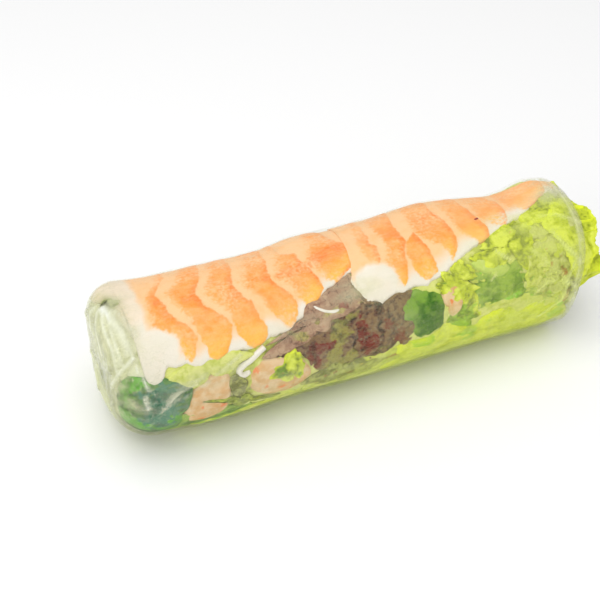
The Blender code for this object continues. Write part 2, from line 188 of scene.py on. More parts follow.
@dataclass(frozen=True)
class RollForm:
    """The roll's outer form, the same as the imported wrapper's.

    Attributes:
        squareness: 2 is round, and more is squarer.
        settle: how far the underside is pressed flat.
        rounding: radius of the bend from the tube into the shut end.
        rounding_low: (angle, reach, more) of a rounder place in that bend, low at the front.
        rounding_behind: the same for its back.
        tuck: share by which the paper draws in at the open end.
        swellings: places where the filling pushes the skin out, or lets it sink.
    """

    folded_end: float = -3.6
    opening: float = 146.6
    frill_reach: float = 9.6
    width_at_fold: float = 46.6
    width_at_opening: float = 44.6
    height_at_fold: float = 42.4
    height_at_opening: float = 43.6
    squareness: float = 2.25
    settle: float = 1.1
    rounding: float = 6.0
    rounding_low: Triple = (-50.0, 45.0, 6.0)
    rounding_behind: Triple = (184.0, 38.0, 9.0)
    tuck: float = 0.07
    tuck_length: float = 6.5
    swellings: tuple[Spot, ...] = patches(
        (3, 118, 5, 25, 1.1), (28, 128, 15, 40, -0.8), (47, 128, 7, 34, -0.8), (62, 128, 5, 30, 0.6),
        (66, 62, 6, 14, -0.8), (79, 72, 8, 26, 0.7), (102, 122, 8, 40, 1.3), (128, 120, 7, 34, -1.6),
        (143, 110, 6, 40, 1.3), (6, -52, 9, 22, -1.3), (50, -55, 9, 20, -0.8), (100, -55, 40, 20, -0.8),
        (22, -12, 9, 18, 0.5), (44, -8, 10, 16, 0.4), (89, 12, 9, 18, 0.6), (30, 190, 16, 40, 0.4),
        (84, 176, 18, 34, 0.5), (120, 200, 12, 40, -0.4),
    )

    @property
    def centre(self) -> float:
        """Length that lies over the frame's origin."""
        return 0.5 * (self.folded_end + self.opening + self.frill_reach)

    def middle_height(self, length: Array) -> Array:
        """Height of the middle line above what the roll lies on."""
        share = np.clip(length / self.opening, 0.0, 1.0)
        return 0.5 * (self.height_at_fold + (self.height_at_opening - self.height_at_fold) * share)

    def radius(self, length: Array, angle: Array) -> Array:
        """Distance from the middle line to the skin."""
        share = np.clip(length / self.opening, 0.0, 1.0)
        half_width = 0.5 * (self.width_at_fold + (self.width_at_opening - self.width_at_fold) * share)
        sine, cosine = np.sin(np.radians(angle)), np.cos(np.radians(angle))
        half_height = self.middle_height(length) + np.where(sine < 0, self.settle, 0.0)
        across = np.abs(cosine / half_width) ** self.squareness
        upright = np.abs(sine / half_height) ** self.squareness
        plain = (across + upright) ** (-1.0 / self.squareness)
        swollen = plain + sum(spot.near(length, angle) for spot in self.swellings)
        tuck = np.clip((length - self.opening + self.tuck_length) / self.tuck_length, 0.0, 1.0)
        return swollen * (1.0 - self.tuck * tuck)

    def bend(self, angle: Array) -> Array:
        """Radius of the bend from the tube into the folded end."""
        extra = sum(
            more * bell(turned(angle, corner), reach)
            for corner, reach, more in (self.rounding_low, self.rounding_behind)
        )
        return self.rounding + extra

    def end_middle(self, angle: Array) -> Array:
        """The length that stands for the middle of the folded end."""
        bend = self.bend(angle)
        start = self.folded_end + bend
        return start - 0.5 * math.pi * bend - (self.radius(start, angle) - bend)

    def placed(self, length: Array, angle: Array, out: Array, lowest: Array | float) -> Array:
        """Points by their distance out from the middle line, none under the lowest height."""
        turn = np.radians(angle)
        height = np.maximum(self.middle_height(length) + out * np.sin(turn), lowest)
        return np.stack([length - self.centre, -out * np.cos(turn), height], axis=-1)

    def point(self, length: Array, angle: Array, depth: Array | float) -> Array:
        """Points under the skin.

        Args:
            length: along the roll. Short of the bend it runs round it and in to the end's middle.
            angle: round the roll.
            depth: under the skin, negative outside it.

        Returns:
            Points in millimetres, (n, 3), in the frame's own axes.
        """
        length, angle, depth = np.broadcast_arrays(
            np.asarray(length, float), np.asarray(angle, float), np.asarray(depth, float)
        )
        bend = self.bend(angle)
        start = self.folded_end + bend
        out = self.radius(np.maximum(length, start), angle)
        turn = np.clip((start - length) / bend, 0.0, 0.5 * math.pi)
        across = out - bend * (1.0 - np.cos(turn))
        across = across - np.maximum(0.0, start - length - 0.5 * math.pi * bend)
        along = np.where(length >= start, length, self.folded_end + bend * (1.0 - np.sin(turn)))
        along = along + depth * np.sin(turn)
        across = np.maximum(across - depth * np.cos(turn), 0.0)
        return self.placed(along, angle, across, np.maximum(depth, 0.0))


FORM = RollForm()


# Modelling helpers


def deselect() -> None:
    """Leaves nothing selected."""
    if bpy.context.mode != "OBJECT":
        bpy.ops.object.mode_set(mode="OBJECT")
    bpy.ops.object.select_all(action="DESELECT")


def named(name: str) -> Piece:
    """The object that was just added, with its name."""
    piece = bpy.context.active_object
    piece.name = piece.data.name = name
    return piece


def add_grid(name: str, along: int, around: int) -> Piece:
    """A flat grid of squares, a metre each way, ready to be laid on the roll."""
    deselect()
    bpy.ops.mesh.primitive_grid_add(x_subdivisions=along, y_subdivisions=around, size=1.0)
    return named(name)


def add_ball(name: str, sides: int, rings: int) -> tuple[Piece, Array, Array]:
    """A ball to be stretched along the roll, with its left pole at the shut end.

    Returns:
        The piece, how far each point is from the left pole, 0 to 1, and its angle.
    """
    deselect()
    bpy.ops.mesh.primitive_uv_sphere_add(segments=sides, ring_count=rings, radius=1.0)
    piece = named(name)
    ball = points_of(piece)
    share = np.arccos(np.clip(-ball[:, 2], -1.0, 1.0)) / math.pi
    return piece, share, np.degrees(np.arctan2(-ball[:, 1], ball[:, 0]))


def points_of(piece: Piece) -> Array:
    """The mesh's points, (n, 3)."""
    spots = np.empty(len(piece.data.vertices) * 3)
    piece.data.vertices.foreach_get("co", spots)
    return spots.reshape(-1, 3)


def set_points(piece: Piece, spots: Array) -> None:
    """Moves the mesh's points, given in millimetres."""
    piece.data.vertices.foreach_set("co", np.ascontiguousarray(spots * MM, float).ravel())
    piece.data.update()


def paint(piece: Piece, **layers: Array | float) -> None:
    """Stores one number a point for each named layer, from 0 to 1, for a material to read."""
    for name, values in layers.items():
        numbers = np.clip(np.broadcast_to(values, len(piece.data.vertices)), 0.0, 1.0)
        layer = piece.data.attributes.new(name, "FLOAT", "POINT")
        layer.data.foreach_set("value", np.ascontiguousarray(numbers, np.float32))


def apply_modifier(piece: Piece, kind: str, **settings: object) -> None:
    """Adds one modifier, sets it and applies it."""
    deselect()
    bpy.context.view_layer.objects.active = piece
    piece.select_set(True)
    modifier = piece.modifiers.new(kind.lower(), kind)
    for key, value in settings.items():
        setattr(modifier, key, value)
    bpy.ops.object.modifier_apply(modifier=modifier.name)


def thicken(piece: Piece, thickness: float) -> None:
    """Gives an open surface a wall on its inner side, in millimetres."""
    apply_modifier(piece, "SOLIDIFY", thickness=thickness * MM, offset=-1.0)


def finish_piece(
    piece: Piece,
    material: Material,
    replaced: str | None = None,
) -> None:
    """Dresses a piece and hands it to the frame.

    Args:
        piece: to be dressed.
        material: that it wears.
        replaced: the CAD node that it takes the place of, if there is one.
    """
    piece.data.materials.clear()
    piece.data.materials.append(material)
    piece.data.shade_smooth()
    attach(piece, "root")
    if replaced:
        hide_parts(replaced)
    LOG.info("%s: %d points", piece.name, len(piece.data.vertices))


# Materials

PLAIN = (1.0, 1.0, 1.0)


class NodeBench:
    """A node tree that is being wired."""

    def __init__(self, tree: NodeTree) -> None:
        """Takes the tree to work on."""
        self.tree = tree

    def node(self, kind: str, **settings: object) -> bpy.types.Node:
        """Adds a node and sets its own options."""
        made = self.tree.nodes.new(kind)
        for key, value in settings.items():
            setattr(made, key, value)
        return made

    def feed(self, socket: Socket, value: object) -> None:
        """Links a socket to another, or sets its number or colour."""
        if isinstance(value, Socket):
            self.tree.links.new(value, socket)
        elif isinstance(value, tuple) and len(value) == 3 and socket.type == "RGBA":
            socket.default_value = (*value, 1.0)
        else:
            socket.default_value = value

    def fed(self, made: bpy.types.Node, *values: object) -> Socket:
        """Feeds a node's inputs in turn, and gives its first output."""
        for socket, value in zip(made.inputs, values):
            self.feed(socket, value)
        return made.outputs[0]

    def mix(self, share: object, first: object, second: object) -> Socket:
        """A colour between two."""
        made = self.node("ShaderNodeMix", data_type="RGBA")
        for place, value in zip((0, 6, 7), (share, first, second)):
            self.feed(made.inputs[place], value)
        return made.outputs[2]

    def sum(self, operation: str, *values: object) -> Socket:
        """Arithmetic on numbers."""
        return self.fed(self.node("ShaderNodeMath", operation=operation), *values)

    def times(self, first: object, second: object) -> Socket:
        """The product of two numbers."""
        return self.sum("MULTIPLY", first, second)

    def plus(self, first: object, second: object) -> Socket:
        """The sum of two numbers."""
        return self.sum("ADD", first, second)

    def scaled(self, vector: object, share: object) -> Socket:
        """A vector or colour times a number."""
        made = self.node("ShaderNodeVectorMath", operation="SCALE")
        self.feed(made.inputs["Scale"], share)
        return self.fed(made, vector)

    def step(
        self, value: object, low: object, high: object, least: object = 0.0, most: object = 1.0
    ) -> Socket:
        """A soft step of a number from least at low to most at high."""
        made = self.node("ShaderNodeMapRange", interpolation_type="SMOOTHSTEP")
        return self.fed(made, value, low, high, least, most)


class SharedEffect(NodeBench):
    """A shader node group with named inputs and one output, which many materials place.

    Attributes:
        given: the group's inputs, by name.
    """

    def __init__(self, name: str, inputs: dict[str, object], output: tuple[str, str]) -> None:
        """Starts the group, with its inputs' names and usual values, and its output's name and kind."""
        super().__init__(bpy.data.node_groups.new(name, "ShaderNodeTree"))
        for label, usual in inputs.items():
            kind = "NodeSocketVector" if isinstance(usual, tuple) else "NodeSocketFloat"
            socket = self.tree.interface.new_socket(name=label, in_out="INPUT", socket_type=kind)
            socket.default_value = usual
        self.tree.interface.new_socket(name=output[0], in_out="OUTPUT", socket_type=output[1])
        self.given = self.node("NodeGroupInput").outputs
        self.ending = self.node("NodeGroupOutput").inputs[output[0]]

    def noise(self) -> Socket:
        """Cloudy noise with lumps of the given Size in millimetres, Stretch and Detail."""
        place = self.node("ShaderNodeTexCoord").outputs["Object"]
        stretched = self.node("ShaderNodeVectorMath", operation="MULTIPLY")
        stretched = self.fed(stretched, place, self.given["Stretch"])
        made = self.node("ShaderNodeTexNoise")
        made.inputs["Scale"].default_value = 1.0
        lumps = self.sum("DIVIDE", 1.0 / MM, self.given["Size"])
        self.feed(made.inputs["Vector"], self.scaled(stretched, lumps))
        self.feed(made.inputs["Detail"], self.given["Detail"])
        return made.outputs["Fac"]


@cache
def mottle_group() -> NodeTree:
    """Cloudy patches: Least where the noise is Low and Most where it is High."""
    usual = {"Size": 3.0, "Detail": 2.0, "Stretch": PLAIN}
    usual.update({"Low": 0.3, "High": 0.7, "Least": 0.0, "Most": 1.0})
    effect = SharedEffect("cloudy_mottle", usual, ("Value", "NodeSocketFloat"))
    limits = (effect.given[label] for label in ("Low", "High", "Least", "Most"))
    effect.feed(effect.ending, effect.step(effect.noise(), *limits))
    return effect.tree


@cache
def crinkles_group() -> NodeTree:
    """Thin winding lines, 1 on the line."""
    usual = {"Size": 3.0, "Detail": 2.0, "Stretch": PLAIN, "Width": 0.02}
    effect = SharedEffect("thin_crinkles", usual, ("Lines", "NodeSocketFloat"))
    away = effect.sum("ABSOLUTE", effect.sum("SUBTRACT", effect.noise(), 0.5))
    effect.feed(effect.ending, effect.step(away, 0.0, effect.given["Width"], 1.0, 0.0))
    return effect.tree


@cache
def wet_grain_group() -> NodeTree:
    """The small unevenness of a wet surface, Depth millimetres deep."""
    usual = {"Size": 0.8, "Detail": 3.0, "Stretch": PLAIN, "Depth": 0.15, "Strength": 0.5}
    effect = SharedEffect("wet_grain", usual, ("Normal", "NodeSocketVector"))
    bump = effect.node("ShaderNodeBump")
    effect.feed(bump.inputs["Height"], effect.noise())
    effect.feed(bump.inputs["Distance"], effect.times(effect.given["Depth"], MM))
    effect.feed(bump.inputs["Strength"], effect.given["Strength"])
    effect.feed(effect.ending, bump.outputs["Normal"])
    return effect.tree


class Recipe(NodeBench):
    """One material's nodes, round a Principled shader."""

    def __init__(self, name: str) -> None:
        """Starts an empty material."""
        self.material = bpy.data.materials.new(name)
        self.material.use_nodes = True
        super().__init__(self.material.node_tree)
        self.shader = self.tree.nodes["Principled BSDF"]

    def finished(self, **inputs: object) -> Material:
        """Feeds the shader's inputs, whose spaces are written as underscores."""
        for key, value in inputs.items():
            self.feed(self.shader.inputs[key.replace("_", " ")], value)
        return self.material

    def painted(self, name: str) -> Socket:
        """A number stored on the mesh."""
        return self.node("ShaderNodeAttribute", attribute_name=name).outputs["Fac"]

    def shared(self, group: NodeTree, **inputs: object) -> Socket:
        """Places a shared effect with its own values."""
        made = self.node("ShaderNodeGroup", node_tree=group)
        for key, value in inputs.items():
            self.feed(made.inputs[key], value)
        return made.outputs[0]

    def mottle(
        self, size: float, low: float, high: float, least: float = 0.0, most: float = 1.0,
        detail: float = 2.0, stretch: Colour = PLAIN,
    ) -> Socket:
        """Cloudy patches of a size in millimetres."""
        return self.shared(
            mottle_group(), Size=size, Low=low, High=high, Least=least, Most=most,
            Detail=detail, Stretch=stretch,
        )

    def ragged(self, size: float, low: float, swing: float, detail: float, stretch: Colour = PLAIN) -> Socket:
        """Cloudy patches that swing as far below 0 as above it."""
        return self.mottle(size, low, 1.0 - low, -swing, swing, detail, stretch)

    def crinkles(
        self, size: float, width: float, detail: float = 2.0, stretch: Colour = PLAIN
    ) -> Socket:
        """Thin winding lines between lumps of a size in millimetres."""
        return self.shared(crinkles_group(), Size=size, Width=width, Detail=detail, Stretch=stretch)

    def grain(self, size: float, depth: float, strength: float = 0.5) -> Socket:
        """A normal with bumps of a size and depth in millimetres."""
        return self.shared(wet_grain_group(), Size=size, Depth=depth, Strength=strength)


@dataclass(frozen=True)
class PaperFinish:
    """Wet rice paper: clear where it clings, milky where it is doubled or stands off."""

    milk: Colour = (0.77, 0.77, 0.52)
    lime_milk: Colour = (0.78, 0.86, 0.19)
    crease_milk: Colour = (0.92, 0.94, 0.84)
    clear_alpha: float = 0.015
    milky_alpha: float = 0.90
    most_alpha: float = 0.97
    edge_alpha: float = 0.12
    edge_blend: float = 0.25
    line_milk: float = 0.34
    roughness: float = 0.22
    refraction: float = 1.4
    shine: float = 0.45

    def make(self) -> Material:
        """Builds the material, which reads the painted haze, yellow-green tint, crumpled, crease and frost;
        towards the underside the yellow-green tint of its milk is painted green light bounced up from below.
        """
        recipe = Recipe("wet_rice_paper")
        haze, lime, crumpled = (recipe.painted(name) for name in ("haze", "lime", "crumpled"))
        specks = recipe.times(recipe.mottle(0.42, 0.50, 0.68, -0.02, 0.30), recipe.painted("frost"))
        streaks = recipe.mottle(3.2, 0.35, 0.70, -0.10, 0.16, detail=4.0, stretch=(0.5, 1.0, 1.0))
        streaks = recipe.times(streaks, recipe.step(haze, 0.02, 0.18, 0.10, 1.0))
        wide = recipe.crinkles(6.0, 0.008, stretch=(0.8, 1.0, 1.2))
        narrow = recipe.crinkles(2.6, 0.014, stretch=(0.8, 1.0, 1.2))
        lines = recipe.times(recipe.plus(wide, narrow), crumpled)
        cloudy = recipe.sum("MULTIPLY_ADD", lines, self.line_milk, haze)
        cloudy = recipe.plus(cloudy, recipe.plus(specks, streaks))
        alpha = recipe.sum("MULTIPLY_ADD", cloudy, self.milky_alpha, self.clear_alpha)
        facing = recipe.node("ShaderNodeLayerWeight")
        facing.inputs["Blend"].default_value = self.edge_blend
        edge = recipe.step(facing.outputs["Facing"], 0.5, 1.0, 0.0, self.edge_alpha)
        opaque = recipe.sum("MAXIMUM", recipe.sum("MAXIMUM", alpha, edge), self.clear_alpha)
        # The yellow-green milk is partly painted green light bounced up from below.
        milk = recipe.mix(lime, self.milk, self.lime_milk)
        return recipe.finished(
            Base_Color=recipe.mix(recipe.painted("crease"), milk, self.crease_milk),
            Roughness=self.roughness,
            IOR=self.refraction,
            Alpha=recipe.sum("MINIMUM", opaque, self.most_alpha),
            Normal=recipe.grain(1.6, 0.22),
            Specular_IOR_Level=self.shine,
        )


@dataclass(frozen=True)
class PrawnFinish:
    """Cooked prawn: cream flesh with orange bands, redder at their tail edges."""

    peach: Colour = (0.97, 0.59, 0.30)
    white: Colour = (0.84, 0.78, 0.67)
    orange_pale: Colour = (0.98, 0.44, 0.125)
    orange: Colour = (0.98, 0.35, 0.06)
    deep: Colour = (0.95, 0.21, 0.03)
    yellow: Colour = (0.97, 0.53, 0.075)
    speck: Colour = (0.95, 0.26, 0.03)
    stain: Colour = (0.27, 0.30, 0.08)
    yellowing: float = 0.95
    fibre_share: float = 0.22
    roughness: float = 0.42
    shine: float = 0.1

    def make(self) -> Material:
        """Builds the material, which reads the painted bands."""
        recipe = Recipe("cooked_prawn")
        orange, deep = recipe.painted("orange"), recipe.painted("deep")
        white, yellow = recipe.painted("white"), recipe.painted("yellow")
        flesh = recipe.mix(white, self.peach, self.white)
        blush = recipe.mottle(3.4, 0.46, 0.72, 0.0, 0.30, detail=4.0)
        blush = recipe.times(blush, recipe.step(white, 0.2, 0.9, 1.0, 0.12))
        flesh = recipe.mix(blush, flesh, self.orange_pale)
        # An olive painted shade in the end's dimple and the groove beside it, and a faint olive tint on two
        # lumps.
        flesh = recipe.mix(recipe.painted("stain"), flesh, self.stain)
        band = recipe.mix(recipe.mottle(2.6, 0.36, 0.66, detail=5.0), self.orange_pale, self.orange)
        band = recipe.mix(recipe.times(yellow, self.yellowing), band, self.yellow)
        redder = recipe.times(deep, recipe.mottle(1.8, 0.25, 0.75, 0.50, 1.0, detail=5.0))
        band = recipe.mix(redder, band, self.deep)
        fibres = recipe.mottle(0.9, 0.42, 0.72, detail=3.0, stretch=(0.35, 1.0, 1.0))
        band = recipe.mix(recipe.times(fibres, self.fibre_share), band, self.peach)
        band = recipe.mix(recipe.mottle(0.36, 0.50, 0.66, 0.0, 0.34), band, self.speck)
        rim = recipe.times(orange, recipe.sum("SUBTRACT", 1.0, orange))
        ragged = recipe.times(recipe.times(rim, 4.0), recipe.ragged(0.9, 0.25, 0.30, 5.0))
        share = recipe.step(recipe.plus(orange, ragged), 0.06, 0.94)
        share = recipe.times(share, recipe.step(recipe.painted("pale"), 0.0, 1.0, 1.0, 0.0))
        return recipe.finished(
            Base_Color=recipe.mix(share, flesh, band),
            Roughness=self.roughness,
            Specular_IOR_Level=self.shine,
            Normal=recipe.grain(0.8, 0.18),
        )


@dataclass(frozen=True)
class LeafFinish:
    """A leaf: painted shade in its creases, painted light on its puffs, with a frill and patches of their
    own.

    Attributes:
        crease_shade: painted shade colour in its creases.
        blade: colour between them.
        ridge_light_and_vein: painted light colour on its puffs, and the colour of its veins.
        line: how dark the painted shade in its thin creases is.
        vein: how light its veins are.
        soft: half the width of its patches' torn rims.
        blush_from: painted strength at which a blush patch starts.
    """

    name: str
    crease_shade: Colour
    blade: Colour
    ridge_light_and_vein: Colour
    frill: Colour
    blush: Colour
    moss: Colour
    line: float = 0.25
    vein: float = 0.25
    mottling: float = 0.24
    soft: float = 0.07
    roughness: float = 0.4
    blush_from: float = 0.48
    moss_from: float = 0.49
    shine: float = 0.12

    def make(self) -> Material:
        """Builds the material, which reads the painted tone, frill, blush and moss."""
        recipe = Recipe(self.name)
        # The painted tone is painted shade in creases and painted light on puffs; thin crinkle lines darken
        # it further as painted shade.
        tone = recipe.plus(recipe.painted("tone"), recipe.ragged(1.4, 0.28, self.mottling, 6.0))
        lines = recipe.crinkles(2.4, 0.030, detail=3.0, stretch=(0.7, 1.0, 1.0))
        tone = recipe.sum("SUBTRACT", tone, recipe.times(lines, self.line))
        colour = recipe.mix(recipe.step(tone, 0.0, 0.5), self.crease_shade, self.blade)
        colour = recipe.mix(recipe.step(tone, 0.5, 1.0), colour, self.ridge_light_and_vein)
        # The patch tints follow the same painted shade and light as the tone.
        light = recipe.step(tone, 0.0, 1.0, 0.55, 1.45)
        torn = recipe.ragged(1.7, 0.0, 0.8, 6.0, (0.8, 1.0, 1.1))
        mossy = recipe.ragged(3.2, 0.0, 0.75, 6.0, (0.6, 1.0, 1.1))
        for layer, noise, start, tint in (
            ("moss", mossy, self.moss_from, self.moss), ("blush", torn, self.blush_from, self.blush)
        ):
            patch = recipe.plus(recipe.painted(layer), noise)
            patch = recipe.step(patch, start - self.soft, start + self.soft)
            colour = recipe.mix(patch, colour, recipe.scaled(tint, light))
        veins = recipe.crinkles(1.7, 0.040, detail=4.0, stretch=(0.6, 1.0, 1.0))
        colour = recipe.mix(recipe.times(veins, self.vein), colour, self.ridge_light_and_vein)
        return recipe.finished(
            Base_Color=recipe.mix(recipe.painted("frill"), colour, self.frill),
            Roughness=self.roughness,
            Specular_IOR_Level=self.shine,
            Normal=recipe.grain(0.8, 0.20, 0.6),
        )


class Leaf(Enum):
    """The kinds of leaf in the roll."""

    # Each leaf's first colour is painted shade for its creases; its third is painted light for its puffs and
    # is also the colour of its veins.
    LIME = LeafFinish(
        "lime_lettuce", (0.2, 0.25, 0.018), (0.5, 0.58, 0.033), (0.72, 0.79, 0.1), (0.8, 0.9, 0.03),
        (0.42, 0.24, 0.06), (0.24, 0.42, 0.03),
    )
    PALE = LeafFinish(
        "pale_lettuce", (0.3, 0.34, 0.05), (0.54, 0.6, 0.1), (0.72, 0.74, 0.24), (0.66, 0.74, 0.09),
        (0.3, 0.12, 0.04), (0.2, 0.42, 0.03),
    )
    HAZY = LeafFinish(
        "hazy_lettuce", (0.15, 0.155, 0.035), (0.38, 0.4, 0.1), (0.62, 0.64, 0.24), (0.62, 0.72, 0.1),
        (0.3, 0.09, 0.03), (0.3, 0.5, 0.05),
    )
    MAUVE = LeafFinish(
        "red_lettuce_rib", (0.15, 0.06, 0.045), (0.35, 0.19, 0.12), (0.5, 0.33, 0.21), (0.36, 0.24, 0.12),
        (0.28, 0.04, 0.035), (0.34, 0.29, 0.09), 0.45, 0.3, 0.2, soft=0.16,
    )
    PAPER = LeafFinish(
        "tucked_paper", (0.34, 0.37, 0.17), (0.52, 0.55, 0.3), (0.74, 0.75, 0.52), (0.72, 0.75, 0.5),
        (0.4, 0.44, 0.2), (0.4, 0.5, 0.2), 0.1,
    )
    # Its near-black fifth colour is painted shade for the dark hole in the dimple.
    PIT = LeafFinish(
        "leaf_in_the_fold", (0.16, 0.19, 0.05), (0.34, 0.38, 0.13), (0.56, 0.58, 0.3), (0.4, 0.44, 0.18),
        (0.035, 0.045, 0.012), (0.1, 0.13, 0.03), soft=0.2,
    )
    GREEN = LeafFinish(
        "green_lettuce", (0.05, 0.12, 0.02), (0.14, 0.28, 0.03), (0.3, 0.46, 0.06), (0.3, 0.46, 0.03),
        (0.45, 0.58, 0.05), (0.16, 0.42, 0.02),
    )
    DARK = LeafFinish(
        "dark_leaf", (0.008, 0.055, 0.012), (0.03, 0.13, 0.022), (0.08, 0.23, 0.05), (0.06, 0.2, 0.02),
        (0.03, 0.14, 0.09), (0.07, 0.28, 0.015), 0.3,
    )
    RED = LeafFinish(
        "red_lettuce", (0.022, 0.008, 0.011), (0.105, 0.04, 0.034), (0.235, 0.14, 0.068), (0.2, 0.14, 0.04),
        (0.125, 0.008, 0.009), (0.22, 0.2, 0.045), 0.4, 0.45, 0.5, soft=0.14,
    )


@dataclass(frozen=True)
class FleckedFinish:
    """Pale flesh with coloured flecks, such as crab stick, noodle or cucumber.

    Attributes:
        fleck_from: noise at which a fleck starts, and it takes more for fewer flecks.
        dot_share: how strongly its dots take the fleck's colour.
    """

    name: str
    flesh: Colour
    shade: Colour
    fleck: Colour
    fleck_size: float = 3.0
    fleck_from: float = 0.55
    fleck_to: float = 0.75
    mottling: float = 0.2
    roughness: float = 0.4
    dot_share: float = 0.9
    shine: float = 0.12

    def make(self) -> Material:
        """Builds the material, which reads the painted tone and dots."""
        recipe = Recipe(self.name)
        tone = recipe.plus(recipe.painted("tone"), recipe.ragged(2.5, 0.3, self.mottling, 4.0))
        colour = recipe.mix(recipe.step(tone, 0.0, 1.0), self.flesh, self.shade)
        fleck = recipe.mottle(self.fleck_size, self.fleck_from, self.fleck_to)
        dot = recipe.plus(recipe.painted("dots"), recipe.ragged(0.9, 0.2, 0.35, 4.0))
        dot = recipe.step(dot, 0.35, 0.75, 0.0, self.dot_share)
        return recipe.finished(
            Base_Color=recipe.mix(recipe.sum("MAXIMUM", fleck, dot), colour, self.fleck),
            Roughness=self.roughness,
            Specular_IOR_Level=self.shine,
            Normal=recipe.grain(0.7, 0.15),
        )


class Flesh(Enum):
    """What the other pieces are made of."""

    CRAB = FleckedFinish(
        "crab_stick", (0.80, 0.58, 0.34), (0.68, 0.36, 0.12), (0.84, 0.22, 0.06), 0.7, 0.72, 0.80, 0.34
    )
    SKIN = FleckedFinish(
        "cucumber_skin", (0.19, 0.36, 0.035), (0.022, 0.125, 0.004), (0.10, 0.26, 0.02), 1.4, 0.56, 0.72,
        0.42, 0.3,
    )
    CUCUMBER = FleckedFinish(
        "cucumber_flesh", (0.56, 0.68, 0.14), (0.30, 0.48, 0.08), (0.64, 0.74, 0.26), mottling=0.3,
        roughness=0.3,
    )
    NOODLE = FleckedFinish(
        "rice_noodle", (0.86, 0.82, 0.72), (0.80, 0.76, 0.66), (0.90, 0.88, 0.80), mottling=0.1,
        roughness=0.3,
    )
    CRIMSON = FleckedFinish(
        "leaf_speck", (0.34, 0.010, 0.035), (0.22, 0.006, 0.02), (0.40, 0.015, 0.04), mottling=0.1
    )


# Sheets laid on the roll

FEWEST_CELLS = 12


def disc(flat: Array) -> tuple[Array, Array]:
    """Turns a square grid into a disc: distance from its middle, 0 to 1, and direction."""
    x, y = 2.0 * flat[:, 0], 2.0 * flat[:, 1]
    x, y = x * np.sqrt(1.0 - 0.5 * y * y), y * np.sqrt(1.0 - 0.5 * x * x)
    return np.minimum(np.hypot(x, y), 1.0), np.arctan2(y, x)


@dataclass(frozen=True)
class Rim:
    """The outline of a piece on the roll, as (length, angle) points in turn."""

    points: Run

    @classmethod
    def box(cls, span: tuple[float, float], angles: tuple[float, float], corner: float = 0.75) -> "Rim":
        """A rounded rectangle."""
        middle = 0.5 * (span[0] + span[1]), 0.5 * (angles[0] + angles[1])
        reach = 0.5 * (span[1] - span[0]), 0.5 * (angles[1] - angles[0])
        turns = (
            (1, 0), (1, 0.5), (corner, corner), (0.5, 1), (0, 1), (-0.5, 1), (-corner, corner), (-1, 0.5)
        )
        turns = turns + tuple((-x, -y) for x, y in turns)
        return cls(tuple((middle[0] + reach[0] * x, middle[1] + reach[1] * y) for x, y in turns))

    @property
    def middle(self) -> tuple[float, float]:
        """The middle of the outline."""
        count = len(self.points)
        return sum(p[0] for p in self.points) / count, sum(p[1] for p in self.points) / count

    def size(self) -> float:
        """About how far the piece reaches each way, in millimetres."""
        lengths = [p[0] for p in self.points]
        angles = [p[1] * GIRTH for p in self.points]
        return max(max(lengths) - min(lengths), max(angles) - min(angles))

    def reach(self, way: Array) -> Array:
        """Distance from the middle to the rim in a direction, in millimetres."""
        middle = self.middle
        away = [(p[0] - middle[0], (p[1] - middle[1]) * GIRTH) for p in self.points]
        ways = np.array([math.atan2(y, x) for x, y in away])
        reaches = np.array([math.hypot(x, y) for x, y in away])
        order = np.argsort(ways)
        return np.interp(way, ways[order], reaches[order], period=2.0 * math.pi)


@dataclass(frozen=True)
class Tear:
    """How the rim of a piece wanders in and out.

    Attributes:
        grain: size of its lobes.
        level: picks its noise, with the seed.
        inner: share of it that the middle of the piece takes too.
    """

    height: float
    grain: float
    level: float
    inner: float


def cut_out(
    name: str, rim: Rim, spacing: float, tear: Tear, seed: int
) -> tuple[Piece, Array, Array, Array]:
    """Adds a round sheet with an outline on the roll, still flat.

    Returns:
        The piece, and for each point how far out it is, 0 to 1, its length and its angle.
    """
    cells = max(FEWEST_CELLS, round(rim.size() / spacing))
    piece = add_grid(name, cells, cells)
    out, way = disc(points_of(piece))
    reach = rim.reach(way)
    torn = tear.height * cloud(ringed(way, reach, tear.level), tear.grain, seed)
    reach = reach + torn * (tear.inner + (1.0 - tear.inner) * out)
    length = rim.middle[0] + out * reach * np.cos(way)
    angle = rim.middle[1] + out * reach * np.sin(way) / GIRTH
    return piece, out, length, angle


